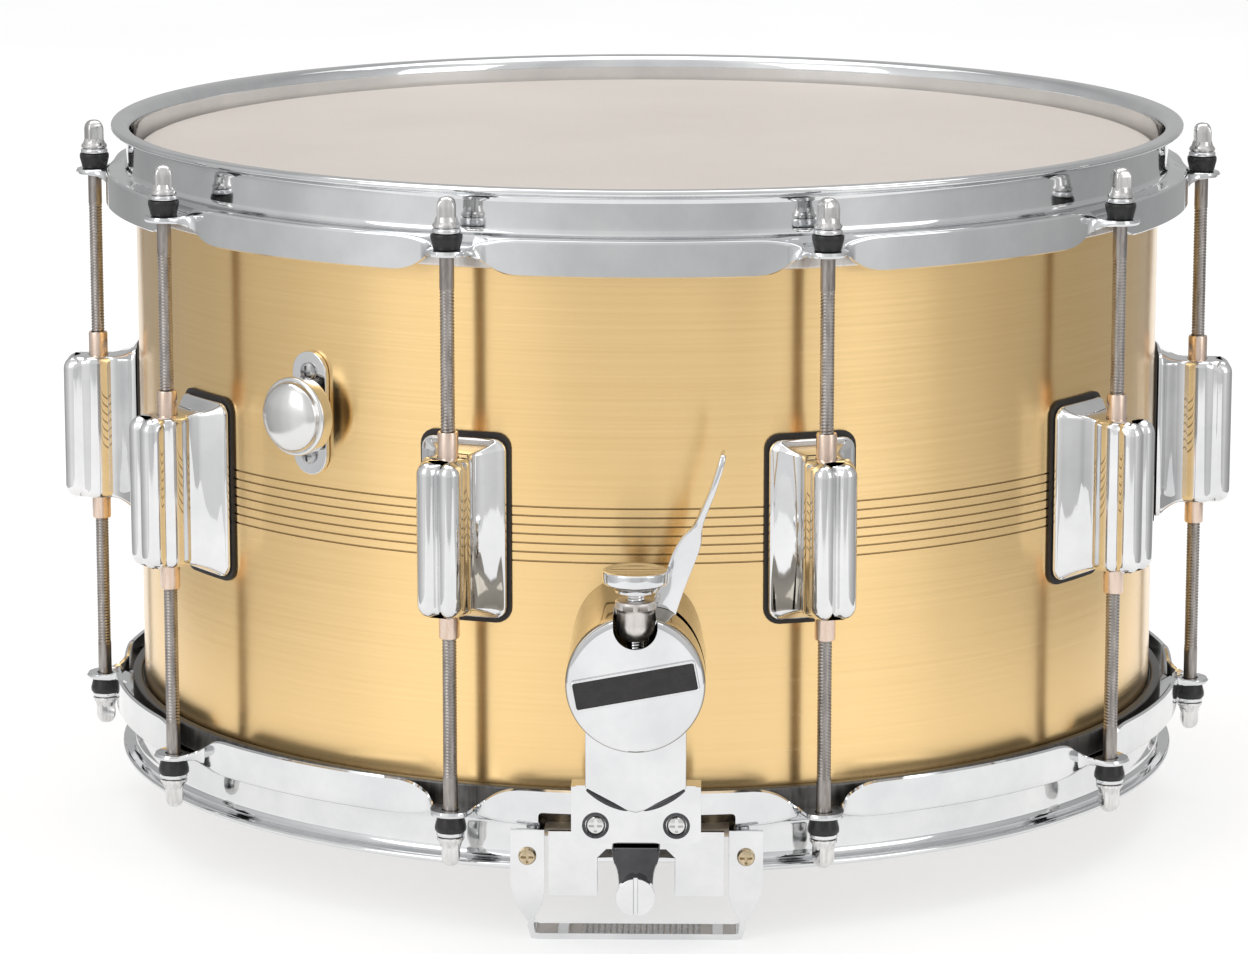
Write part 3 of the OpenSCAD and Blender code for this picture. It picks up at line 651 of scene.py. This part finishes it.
def lug_mesh():
    """One lug: a foot that flares from a neck, and a barrel with two lobes and cut-off corners."""
    sizes = [
        (178.75, 28.6, 58.6, 4), (179.7, 28.6, 58.6, 4), (180.15, 28.2, 58.2, 3.8), (180.35, 27.4, 57.6, 3.4),
        (
            180.9, 26.2, 56.8, 2.8
        ), (181.9, 23.6, 55.2, 2.2), (183.1, 20.6, 53.7, 1.8), (184.4, 17.4, 52.5, 1.4),
        (
            185.7, 14.6, 51.6, 1.2
        ), (187.0, 12.6, 51.0, 1.1), (188.6, 11.4, 50.7, 1.0), (190.5, 11.0, 50.5, 1.0),
        (193.0, 11.0, 50.4, 1.0),
    ]
    foot = []
    for r, w, h, corner in sizes:
        ring = np.array(round_box(w, h, corner, 4))
        foot.append(np.stack([ring[:, 0], np.full(len(ring), -r), ring[:, 1]], -1))
    body = new_object("lug", skin(foot), 28)
    front, back = BARREL_R, 187.6
    half = [
        (0, front - 2.0), (0.5, front - 1.75), (1.15, front - 0.75), (2.2, front - 0.12), (3.4, front),
        (4.9, front - 0.2), (6.2, front - 1.1), (7.1, front - 2.5), (7.4, front - 4.0), (7.3, front - 5.3),
        (7.0, front - 6.2), (7.05, front - 7.2), (7.6, front - 8.4), (7.9, front - 10.2), (7.8, front - 12.2),
        (7.3, front - 14.0), (6.4, front - 15.6), (5.2, back),
    ]
    outline = np.array(half + [(-x, r) for x, r in half[:0:-1]])
    step = np.roll(outline, -1, 0) - np.roll(outline, 1, 0)
    normal = np.stack([-step[:, 1], step[:, 0]], -1) / np.linalg.norm(step, axis=1)[:, None]
    if (normal[8] @ np.array([1, 0])) < 0:
        normal = -normal
    cap_r = np.where(outline[:, 1] > front - 4.5, 4.4, np.where(outline[:, 1] > front - 8, 3.0, 2.0))
    rings = []
    depths = [0.0, 0.15, 0.5, 1.0, 1.7, 2.5, 3.4, 4.4, 8]
    for d, sign in [(d, -1) for d in depths] + [(d, 1) for d in depths[::-1]]:
        inset = cap_r - np.sqrt(np.maximum(0, cap_r**2 - np.maximum(0, cap_r - d) ** 2))
        inset = np.minimum(inset, cap_r * 0.86)
        ring = outline - normal * inset[:, None]
        rings.append(np.stack([ring[:, 0], -ring[:, 1], np.full(len(ring), sign * (25.3 - d))], -1))
    cut(body, skin(rings), "UNION", 28)
    bore = moved(lathe([(0, -40), (3.55, -40), (3.55, 40), (0, 40)], 32, False), y=-ROD_R)
    cut(body, bore, smooth=28)
    return as_mesh(body)


lugs = new_object("lug_castings", around(lug_mesh()), 30)
finish_piece(lugs, LUG_CHROME, replaces=["lug_casings"])

nut_line = [(2.45, 19.5), (3.3, 19.5), (3.3, 32.9), (3.1, 33.4), (2.6, 33.4), (2.45, 33.1)]
nuts = both_ends(around(moved(lathe(nut_line, 40), y=-ROD_R)))
finish_piece(new_object("swivel_nuts_turned", nuts, 25), NUT, replaces=["swivel_nuts"])

low = EAR_Z + 0.05
nylon_line = [
    (2.7, low), (3.9, low), (4.25, low + 0.35), (5.0, low + 3.3), (5.1, low + 3.8), (5.1, low + 4.8),
    (4.9, low + 5.2), (2.7, low + 5.2)
]
nylons = both_ends(around(moved(lathe(nylon_line, 48), y=-ROD_R)))
finish_piece(
    new_object("nylon_washers_moulded", nylons, 30), NYLON, replaces=["nylon_washers"]
)

low = EAR_Z + 5.35
cup_line = [
    (2.7, low), (4.3, low), (4.62, low + 0.25), (4.7, low + 0.7), (4.62, low + 1.2), (4.3, low + 1.6),
    (3.9, low + 1.8), (2.7, low + 1.8)
]
cups = both_ends(around(moved(lathe(cup_line, 48), y=-ROD_R)))
finish_piece(new_object("cup_washers_turned", cups, 30), CHROME, replaces=["cup_washers"])


# ---- Tension rods


def ring_at(r, z, n=20):
    return [(r * math.cos(2 * math.pi * j / n), r * math.sin(2 * math.pi * j / n), z) for j in range(n)]


def thread(r, pitch, start, stop, depth=0.34, n=20):
    """Rings of a rolled thread between two heights."""
    steps = int((stop - start) / (pitch / 4))
    rings = []
    for i in range(steps + 1):
        z = start + (stop - start) * i / steps
        fade = max(0, min(1, (stop - z) / 1.6, (z - start) / 0.8))
        ring = []
        for j in range(n):
            a = 2 * math.pi * j / n
            tooth = abs(2 * ((z / pitch - j / n) % 1) - 1)
            size = r - depth * (1 - tooth) * fade
            ring.append((size * math.cos(a), size * math.sin(a), z))
        rings.append(ring)
    return rings


FLANGE = EAR_Z + 7.25


def rod_mesh():
    """A rod with a rolled thread and, above it, a plain shank."""
    stop = HALF - 22
    rings = thread(2.38, 1.058, 19.0, stop)
    return skin(rings + [ring_at(2.36, z) for z in (stop + 0.3, FLANGE - 0.5, FLANGE + 0.4)])


def rod_head_mesh():
    """A rod's flange, its neck and its square head with a round top."""
    line = [
        (0, FLANGE), (4.3, FLANGE), (4.48, FLANGE + 0.2), (4.5, FLANGE + 0.75), (4.3, FLANGE + 1.15),
        (3.95, FLANGE + 1.5), (3.65, FLANGE + 2.1), (3.45, FLANGE + 2.8), (3.3, FLANGE + 3.3),
        (0, FLANGE + 3.3),
    ]
    neck = lathe(line, 48, False)
    top = RIM - 2.1
    sizes = [
        (5.5, FLANGE + 1.2, 0.7), (5.6, FLANGE + 3.4, 0.6), (5.6, top - 3.2, 0.6), (5.45, top - 2.2, 0.9),
        (5.05, top - 1.3, 1.3), (4.3, top - 0.6, 1.6), (3.1, top - 0.15, 1.5), (1.6, top, 0.79),
    ]
    head = [[(x, y, z) for x, y in round_box(w, w, corner, 4)] for w, z, corner in sizes]
    return joined([neck, skin(head)])


def place_rod(m, name, node, angle, side, material):
    m = facing(moved(m, y=-ROD_R), angle)
    obj = new_object(name, m if side == "top" else upside_down(m), 25)
    finish_piece(obj, material, node, [node])


for i, angle in enumerate(LUG_ANGLES):
    for side in ("top", "bottom"):
        node = f"{side}_tension_rod_{i + 1}"
        turned = 15 + 40 * i
        place_rod(facing(rod_mesh(), turned), node + "_threaded", node, angle, side, ROD)
        place_rod(
            facing(rod_head_mesh(), turned), node + "_square_head", node, angle, side, HEAD_STEEL,
        )


# ---- Shapes that several fittings share


def disc(r, y0, y1, x=0, z=0, n=96):
    """A round bar that points out of the drum, from distance y0 to y1."""
    return moved(outward(lathe([(0, y0), (r, y0), (r, y1), (0, y1)], n, False)), x=x, z=z)


def block(x0, x1, y0, y1, z0, z1):
    """A block between two distances in front of the axis."""
    return plate([(x0, z0), (x1, z0), (x1, z1), (x0, z1)], y1, y1 - y0)


def head_screw(r, y0, y1, r_shank, y_in, r_cross=0.7, n=48):
    """A pan-head screw with a cross recess, its head from y0 to y1 and its threaded shank back to y_in."""
    h = y1 - y0
    dome = [(0, y0), (r - 0.15, y0), (r, y0 + 0.2 * h), (0.97 * r, y0 + 0.5 * h), (0.82 * r, y0 + 0.82 * h)]
    dome += [(0.5 * r, y0 + 0.97 * h), (0, y1)]
    head = new_object("screw", outward(lathe(dome, n, False)), 30)
    arm = r_cross * r
    for wide, tall in ((arm, 0.15 * r), (0.15 * r, arm)):
        cut(head, block(-wide, wide, y0 + 0.15 * h, y1 + 1, -tall, tall), smooth=30)
    shank = outward(skin(thread(r_shank, 0.8, y_in, y0 + 0.05, 0.2, 16)))
    return joined([as_mesh(head), shank])


def coil(r, wire, pitch, z0, z1, per_turn=14, sides=6):
    """A round wire wound about the vertical axis."""
    count = int((z1 - z0) / pitch * per_turn)
    t = np.linspace(0, 2 * math.pi * (z1 - z0) / pitch, count)
    centre = np.stack([r * np.sin(t), -r * np.cos(t), z0 + (z1 - z0) * t / t[-1]], -1)
    out = np.stack([np.sin(t), -np.cos(t), np.zeros(count)], -1)
    rings = []
    for i in range(count):
        ring = []
        for j in range(sides):
            a = 2 * math.pi * j / sides
            ring.append(centre[i] + wire * (math.cos(a) * out[i] + math.sin(a) * np.array([0, 0, 1])))
        rings.append(ring)
    return skin(rings)


def curve_through(points, n=8):
    """Rows on a smooth curve through the given rows."""
    q = np.array(points, float)
    q = np.concatenate([[2 * q[0] - q[1]], q, [2 * q[-1] - q[-2]]])
    rows = []
    for a, b, c, d in zip(q[:-3], q[1:-2], q[2:-1], q[3:]):
        for t in np.linspace(0, 1, n, endpoint=False):
            bend, twist = 2 * a - 5 * b + 4 * c - d, 3 * b - a - 3 * c + d
            rows.append(0.5 * (2 * b + (c - a) * t + bend * t**2 + twist * t**3))
    return rows + [q[-2]]


# ---- Strainer: the round case with its shoulders and neck, its face, label, lever and knob

face_low, face_high = box_mm("strainer_face")
CASE_R = (face_high[0] - face_low[0]) / 2
CASE_Z = face_low[2] + CASE_R - MID
FACE_Y = -face_low[1]
KNOB_Y = FACE_Y - 8
NECK_Y = KNOB_Y
NOTCH_Z = CASE_Z + 18.5
LEVER_Y = FACE_Y - 14.5
WALL = 1.6
# The shoulders' height above the case's middle, and the furthest that they reach from it
SHOULDER_UP, SHOULDER_OUT = 25, 27.5
NECK_HALF, NECK_SIDE_Z, NECK_TIP_Z = 16, 24.5 - HALF, 16.9 - HALF
LABEL_TILT = 10.4


def case_mesh():
    """The case: round at its face, and rising to two shoulders where it meets the shell."""
    back, front = R - 4, FACE_Y - 1
    angles = np.linspace(0, 2 * math.pi, 160, endpoint=False)
    rings = []
    for y in np.concatenate([np.linspace(back, front - 0.6, 14), [front - 0.25, front]]):
        spread = min(1, (front - y) / (front - back))
        ring = []
        for a in angles:
            up = math.sin(a)
            tall = min(SHOULDER_UP / max(up, 0.01), SHOULDER_OUT) - CASE_R
            lean = math.degrees(math.asin(min(1, abs(up)))) if up > 0 else 0
            r = CASE_R + max(0, tall) * spread * smoothstep((lean - 12) / 58)
            r -= 0.45 if y == front else 0.12 if y == front - 0.25 else 0
            ring.append((r * math.cos(a), -y, CASE_Z + r * up))
        rings.append(ring)
    return skin(rings)


def neck_edge(u):
    """Height of the neck's lower edge, from its tip (u = 0) to its sides (u = 1)."""
    return NECK_TIP_Z + (NECK_SIDE_Z - NECK_TIP_Z) * (0.45 * u + 0.55 * u * u)


def neck_mesh():
    """The neck: two faces that meet in a slight ridge, each with a curved lower edge, and two side walls."""
    side, low, top = NECK_HALF, NECK_SIDE_Z, CASE_Z - 8
    right = [(side * u, neck_edge(u)) for u in np.linspace(0, 1, 9)]
    outline = [(-x, z) for x, z in right[::-1]] + right[1:] + [(side, top), (0, top), (-side, top)]
    n = len(outline)
    x, z = np.array(outline).T
    ridge = 0.7 * (1 - np.abs(x) / side)
    v = np.concatenate([np.stack([x, -(y + ridge), z], -1) for y in (NECK_Y - WALL, NECK_Y)])
    left = list(range(9)) + [n - 2, n - 1]
    half = list(range(8, 17)) + [n - 3, n - 2]
    f = [tuple(left)[::-1], tuple(half)[::-1], tuple(i + n for i in left), tuple(i + n for i in half)]
    f += [(i, (i + 1) % n, n + (i + 1) % n, n + i) for i in range(n)]
    walls = [
        block(x0, x0 + WALL, math.sqrt(R**2 - side**2), NECK_Y - 0.5, low, top) for x0 in (-side, side - WALL)
    ]
    return joined([(v, f)] + walls)


def bead(path, y, thick):
    """A rounded bead along a line of x and z, thinning to both ends."""
    points = np.array(path)
    along = np.gradient(points, axis=0)
    along /= np.linalg.norm(along, axis=1)[:, None]
    rings = []
    for k, ((x, z), (ux, uz)) in enumerate(zip(points, along)):
        r = thick * (0.12 + 0.88 * math.sqrt(math.sin(math.pi * (k + 0.5) / len(points))))
        turns = np.linspace(0, 2 * math.pi, 12, endpoint=False)
        rings.append(
            [(x - uz * r * math.cos(t), -y + r * math.sin(t), z + ux * r * math.cos(t)) for t in turns]
        )
    return skin(rings)


def notch():
    round_end = disc(7, KNOB_Y - 7, FACE_Y + 2, z=NOTCH_Z, n=48)
    return round_end, block(-7, 7, KNOB_Y - 7, FACE_Y + 2, NOTCH_Z, NOTCH_Z + 16)


case = new_object("strainer_case", case_mesh())
cut(case, disc(CASE_R - WALL, R - 8, FACE_Y + 1, z=CASE_Z, n=160))
cut(case, block(3, 33, LEVER_Y - 1.6, LEVER_Y + 1.6, CASE_Z - 8, CASE_Z + 38))
for part in notch():
    cut(case, part)
cut(case, lathe([(0, -HALF), (R + 0.05, -HALF), (R + 0.05, HALF), (0, HALF)], 360, False), smooth=40)
finish_piece(case, CASE_REFLECTION_CHROME, replaces=["strainer_housing"])
neck = soften(new_object("strainer_neck", neck_mesh()), 0.75, 4)
finish_piece(neck, CHROME, replaces=["strainer_housing"])
# A dark bead along each half of the neck's lower edge: painted shade where the edge turns under.
low_edge = []
for side in (-1, 1):
    path = []
    for u in np.linspace(0.16, 0.97, 20):
        path.append((NECK_HALF * side * u, neck_edge(u) + 0.2))
    low_edge.append(bead(path, NECK_Y - 0.1, 1.05))
finish_piece(
    new_object("neck_edge_painted_shade", joined(low_edge), 60), SHADE_CHROME,
    replaces=["strainer_housing"]
)

CAP_R = CASE_R - 0.45
profile = [
    (0, FACE_Y - 0.95), (CAP_R - 0.1, FACE_Y - 0.95), (CAP_R, FACE_Y - 0.8), (CAP_R - 0.05, FACE_Y - 0.45)
]
profile += [(CAP_R - 0.35, FACE_Y - 0.15), (CAP_R - 1.1, FACE_Y - 0.02), (CAP_R - 2, FACE_Y), (0, FACE_Y)]
cap = new_object("strainer_cap", moved(outward(lathe(profile, 160, False)), z=CASE_Z), 30)
for part in notch():
    cut(cap, part, smooth=30)
finish_piece(cap, CHROME, replaces=["strainer_face"])


def tilted(m, degrees, z):
    """Turns a mesh about the drum's front-to-back line at a height."""
    c, k = math.cos(math.radians(degrees)), math.sin(math.radians(degrees))
    v = m[0] - np.array([0, 0, z])
    turned = np.stack([v[:, 0] * c - v[:, 2] * k, v[:, 1], v[:, 0] * k + v[:, 2] * c], -1)
    return turned + np.array([0, 0, z]), m[1]


def label(width, height, corner, y0, y1):
    outline = [(x, z + CASE_Z) for x, z in round_box(width, height, corner)]
    return tilted(plate(outline, y1, y1 - y0), LABEL_TILT, CASE_Z)


frame_ring = new_object("label_frame", label(39.8, 9.9, 1.1, FACE_Y - 0.1, FACE_Y + 1.4))
cut(frame_ring, label(38.5, 8.5, 0.6, FACE_Y + 0.8, FACE_Y + 2))
finish_piece(soften(frame_ring, 0.22), CHROME, replaces=["label_plate"])
panel = new_object("label_panel", label(38.4, 8.4, 0.5, FACE_Y + 0.4, FACE_Y + 1.15))
finish_piece(soften(panel, 0.1), BLANK, replaces=["label_plate"])

# Each row is x, height above the pivot, width across, depth front to back
lever_rows = [
    (2.5, 3, 10.4, 2), (6, 14, 9.4, 2), (9.6, 24, 8.2, 2), (12.4, 31, 7.5, 2), (15, 38, 7.7, 2.2), (
        17.4, 43.4, 6.5, 2.8
    ),
    (
        19.2, 47.6, 3.4, 4.4
    ), (20.6, 51.6, 2.2, 6.2), (23.9, 60, 1.9, 7.4), (26.4, 68, 1.9, 7.4), (27.2, 71.2, 1.7, 6.6),
    (27.5, 72.2, 0.8, 4.6),
]
rows = np.array(curve_through(lever_rows, 7))
along = np.gradient(rows[:, :2], axis=0)
along /= np.linalg.norm(along, axis=1)[:, None]
blade = []
for (x, z, wide, deep), (ux, uz) in zip(rows, along):
    back = LEVER_Y - 1
    corner = min(wide, deep) * 0.32
    outline = round_box(wide, deep, corner, 3)
    blade.append([(x + p * uz, -(back + deep / 2) - q, CASE_Z + z - p * ux) for p, q in outline])
lever = new_object("lever_blade", skin(blade), 40)
cut(lever, disc(6, LEVER_Y - 1, LEVER_Y + 1, z=CASE_Z, n=64), "UNION", 40)
cut(lever, disc(2.55, LEVER_Y - 5, LEVER_Y + 5, z=CASE_Z, n=48), smooth=40)
finish_piece(lever, CHROME, "throw_off_lever", ["strainer_lever"])
refined("lever_pivot", SHANK, width=0.3)

knob_line = [
    (0, -6.5), (7.9, -6.5), (8.6, -6.3), (9.1, -6)
] + arc(9.8, -6.7, 0.7, 90, 0, 5) + [(10.5, -8.6)] + arc(9.3, -9.4, 1.15, 0, -80, 6)
knob_line += [(8, -10.9), (7.1, -11.7), (6.7, -12.4), (6.5, -13), (2.9, -13), (0, -13)]
stem = skin(thread(2.88, 0.9, -52.5, -12.9, 0.25))
knob = moved(joined([lathe(knob_line, 96, False), stem]), y=-KNOB_Y)
finish_piece(
    new_object("height_knob_turned", knob, 35), CHROME, "height_knob", ["height_knob"]
)

nut_body = [(2.95, -15.7)] + arc(5.9, -16.3, 0.6, 90, 0, 4) + [(6.5, -18.2), (6, -18.9), (5.9, -19.4)]
nut_body += arc(0, -23.3, 6.1, 3, -61, 12) + [(2.95, -28.7)]
nut = new_object("height_nut_turned", moved(lathe(nut_body, 72), y=-KNOB_Y), 35)
for x in (-2.3, 2.3):
    cut(nut, block(x - 1.6, x + 1.6, KNOB_Y + 3.2, KNOB_Y + 8, -18.2, -16.7), smooth=35)
finish_piece(nut, ALUMINIUM, replaces=["height_nut"])

refined("strainer_screws", SHANK, width=0.3)


# ---- Carriage, snare frame, wires and guards

END_Y = FACE_Y - 18
FRAME_Z = -HALF - 4.9
CARRIAGE_Y = FACE_Y - 14
HOLE = (12.85, 11 - HALF)
refined("snare_carriage", CHROME, "snare_carriage", 0.45, 3)
screw = head_screw(3.1, CARRIAGE_Y - 1.1, CARRIAGE_Y + 0.6, 2, CARRIAGE_Y - 10.4)
screws = joined([moved(screw, x=x, z=HOLE[1]) for x in (-HOLE[0], HOLE[0])])
finish_piece(
    new_object("carriage_pan_screws", screws, 30), SATIN, "snare_carriage",
    ["carriage_screws"]
)
# Dark rings round the carriage screws: painted shade in the screw holes.
rims = joined(
    [disc(4.3, CARRIAGE_Y - 0.5, CARRIAGE_Y + 0.05, x=x, z=HOLE[1], n=48) for x in (-HOLE[0], HOLE[0])]
)
wells = new_object("carriage_hole_shade", rims)
for x in (-HOLE[0], HOLE[0]):
    cut(wells, disc(3.35, CARRIAGE_Y - 3, CARRIAGE_Y + 3, x=x, z=HOLE[1], n=48))
finish_piece(soften(wells, 0.15), SHADE_CHROME, "snare_carriage", ["snare_carriage"])

refined("snare_frame", CHROME, "snare_frame", 0.55, 3)
# The tension screw's block, coloured near black as painted shade and dark reflection; each pair is a height
# above the frame and the width there
block_rings = []
for up, wide in (
    (9.3, 13.2), (9.0, 13.8), (7.8, 13.9), (6.2, 13.5), (4.4, 12.6), (2.6, 11.2), (0.6, 10), (-1.6, 9.5),
    (-9.05, 9.5)
):
    ring = np.array(round_box(wide + 1.4, 8.2, 1.9, 5))
    block_rings.append(np.stack([ring[:, 0], ring[:, 1] - END_Y - 3.7, np.full(len(ring), FRAME_Z + up)], -1))
tension_block = new_object("tension_block", skin(block_rings), 40)
cut(tension_block, disc(2.6, END_Y - 6, END_Y + 12, z=-HALF - 10.6, n=48), smooth=40)
finish_piece(tension_block, SHADE_CHROME, "snare_frame", ["snare_frame"])
refined("tension_screw", CHROME, "tension_screw", 0.5, 3)

WIRE_Z = -HALF - 1.6
strand = coil(0.62, 0.2, 2.0, -163, 163, 8, 4)
strand = (np.stack([strand[0][:, 0], strand[0][:, 2], strand[0][:, 1] + WIRE_Z], -1), strand[1])
strands = joined([moved(strand, x=2 * i - 19) for i in range(20)])
finish_piece(new_object("coiled_strands", strands, 60), WIRE, "snare_frame", ["snare_wires"])
strip = plate(
    rounded([(-21, WIRE_Z - 1.1), (21, WIRE_Z - 1.1), (21, WIRE_Z + 0.5), (-21, WIRE_Z + 0.5)], 0.3, 3),
    END_Y - 2.1, 31.8
)
strips = soften(new_object("strand_plates", joined([facing(strip, a) for a in (0, 180)])), 0.3)
finish_piece(strips, CHROME, "snare_frame", ["snare_wires"])

refined("butt_bracket", CHROME, width=0.6, segments=3)
refined("butt_pin", SHANK, width=0.3)
refined("butt_screws", SHANK, width=0.3)
refined("snare_guards", CHROME, width=0.45, segments=3)
GUARD_Y = 189
guard_screw = head_screw(2.9, GUARD_Y + 0.05, GUARD_Y + 1.8, 1.95, 174.5)
screws = [facing(moved(guard_screw, x=x, z=-HALF - 2.2), a) for a in (0, 180) for x in (-35, 35)]
finish_piece(
    new_object("guard_pan_screws", joined(screws), 30), BRASSY, replaces=["guard_screws"]
)


# ---- Muffler, lug hardware and vent

MUFFLER_ANGLE, MUFFLER_Z = -36.5, 31.7
refined("muffler_plate", CHROME, width=0.5, segments=3)
small_screw = head_screw(3, R + 1.95, R + 3.6, 1.6, R - 6.4)
screws = [facing(moved(small_screw, z=MUFFLER_Z + z), MUFFLER_ANGLE) for z in (-13.7, 13.7)]
finish_piece(
    new_object("muffler_pan_screws", joined(screws), 30), SHANK, replaces=["muffler_screws"]
)
dome = [(0, -13), (3.2, -13), (3.2, 4.6)] + arc(11.9, 5.6, 1, -90, 0, 5) + arc(11.9, 9.3, 1, 0, 90, 5)
dome += [(11.75, 10.25), (11.6, 10.5)]
dome += [(11.5 * math.cos(t), 10.7 + 4.8 * math.sin(t)) for t in np.linspace(0.08, math.pi / 2, 16)]
turned = facing(moved(outward(moved(lathe(dome, 96, False), z=R)), z=MUFFLER_Z), MUFFLER_ANGLE)
finish_piece(
    new_object("muffler_knob_turned", turned, 30), SATIN, "muffler_knob", ["muffler_knob"]
)
refined("muffler_bracket", SHANK, width=0.3)
refined("muffler_arm", SHANK, "muffler_arm", 0.3)
refined("vent_grommet", CHROME, width=0.3)
refined("lug_gaskets", RUBBER, width=0.25)
refined("lug_screws", SHANK, width=0.3)
springs = around(moved(coil(3.05, 0.33, 3.0, -17.6, 17.6), y=-ROD_R))
finish_piece(new_object("lug_coil_springs", springs, 60), WIRE, replaces=["lug_springs"])

pad = refined("muffler_pad", FELT, "muffler_arm", 1.5, 4)


# ---- Floor, light and camera


def floor():
    data = bpy.data.meshes.new("floor")
    v = []
    for y, half in ((-0.8, 0.44), (0.1, 0.44), (3.3, 0.95)):
        v += [(-half, y, 0), (half, y, 0)]
    data.from_pydata(v, [], [(2 * i, 2 * i + 1, 2 * i + 3, 2 * i + 2) for i in range(2)])
    obj = bpy.data.objects.new("floor", data)
    bpy.context.scene.collection.objects.link(obj)
    n = Nodes("pale_floor")
    n.set(Base_Color=n.blend(n.noise(n.place, 3, 2), (0.44, 0.44, 0.44), (0.46, 0.46, 0.46)), Roughness=0.8)
    n.set(Emission_Color=(1, 1, 1, 1), Emission_Strength=0.58)
    data.materials.append(n.material)


def lamp(name, at, target, size, watts):
    data = bpy.data.lights.new(name, "AREA")
    data.shape, data.size, data.size_y, data.energy = "RECTANGLE", size[0], size[1], watts
    obj = bpy.data.objects.new(name, data)
    bpy.context.scene.collection.objects.link(obj)
    obj.location = at
    obj.rotation_euler = (Vector(target) - Vector(at)).to_track_quat("-Z", "Y").to_euler()


def studio():
    """A grey room whose brightness changes around the drum and with height."""
    world = bpy.data.worlds.new("studio")
    bpy.context.scene.world = world
    world.use_nodes = True
    tree = world.node_tree
    split = tree.nodes.new("ShaderNodeSeparateXYZ")
    tree.links.new(tree.nodes.new("ShaderNodeTexCoord").outputs["Generated"], split.inputs[0])
    back = tree.nodes.new("ShaderNodeMath")
    back.operation = "MULTIPLY"
    back.inputs[1].default_value = -1
    tree.links.new(split.outputs[1], back.inputs[0])
    angle = tree.nodes.new("ShaderNodeMath")
    angle.operation = "ARCTAN2"
    tree.links.new(split.outputs[0], angle.inputs[0])
    tree.links.new(back.outputs[0], angle.inputs[1])
    around_room = tree.nodes.new("ShaderNodeMapRange")
    around_room.inputs[1].default_value, around_room.inputs[2].default_value = -math.pi, math.pi
    tree.links.new(angle.outputs[0], around_room.inputs[0])
    height = tree.nodes.new("ShaderNodeMapRange")
    height.inputs[1].default_value, height.inputs[2].default_value = -1, 1
    tree.links.new(split.outputs[2], height.inputs[0])
    both = tree.nodes.new("ShaderNodeMath")
    both.operation = "MULTIPLY"
    for k, (source, stops) in enumerate(((around_room, ROOM), (height, CEILING))):
        ramp = tree.nodes.new("ShaderNodeValToRGB")
        ramp.color_ramp.interpolation = "EASE"
        elements = ramp.color_ramp.elements
        while len(elements) < len(stops):
            elements.new(0.5)
        for element, (at, grey) in zip(elements, stops):
            element.position, element.color = at, (grey, grey, grey, 1)
        tree.links.new(source.outputs[0], ramp.inputs[0])
        tree.links.new(ramp.outputs[0], both.inputs[k])
    background = tree.nodes["Background"]
    tree.links.new(both.outputs[0], background.inputs[0])
    background.inputs[1].default_value = 1.0


# Brightness around the room, from behind the drum by the left to the front (0.5) and back by the right
ROOM = [
    (0.0, 0.50), (0.10, 0.45), (
        0.175, 0.55
    ), (0.258, 0.72), (0.30, 0.85), (0.353, 1.05), (0.42, 1.0), (0.465, 0.78),
    (0.53, 0.76), (0.56, 0.66), (0.59, 0.80), (0.63, 0.92), (0.67, 0.76), (0.70, 0.67), (0.75, 0.56),
    (0.80, 0.46), (1.0, 0.50),
]
# Brightness from straight down to straight up
CEILING = [(0.0, 0.7), (0.45, 0.85), (0.55, 1.0), (0.75, 1.0), (1.0, 1.1)]

floor()
studio()
middle = (0, 0, MID * MM)
lamp("key", (-1.7, -1.6, 1.3), middle, (1.2, 1.5), 9)
lamp("fill", (1.8, -1.4, 1.0), middle, (1.0, 1.4), 5)
lamp("top", (0, 0.2, 2.2), middle, (2.4, 2.0), 13)
lamp("backdrop", (0, 0.5, 2.3), (0, 1.6, 0.6), (3.0, 0.8), 16)
bpy.context.scene.view_settings.view_transform = "Standard"

camera = bpy.data.objects.new("camera", bpy.data.cameras.new("camera"))
bpy.context.scene.collection.objects.link(camera)
bpy.context.scene.camera = camera
camera.data.lens, camera.data.sensor_width = 143.9, 36
camera.location = (0.0284, -1.7292, (MID + 331.8) * MM)
yaw = math.radians(1.206)
camera.rotation_euler = (math.radians(90 - 11.44), 0, yaw)
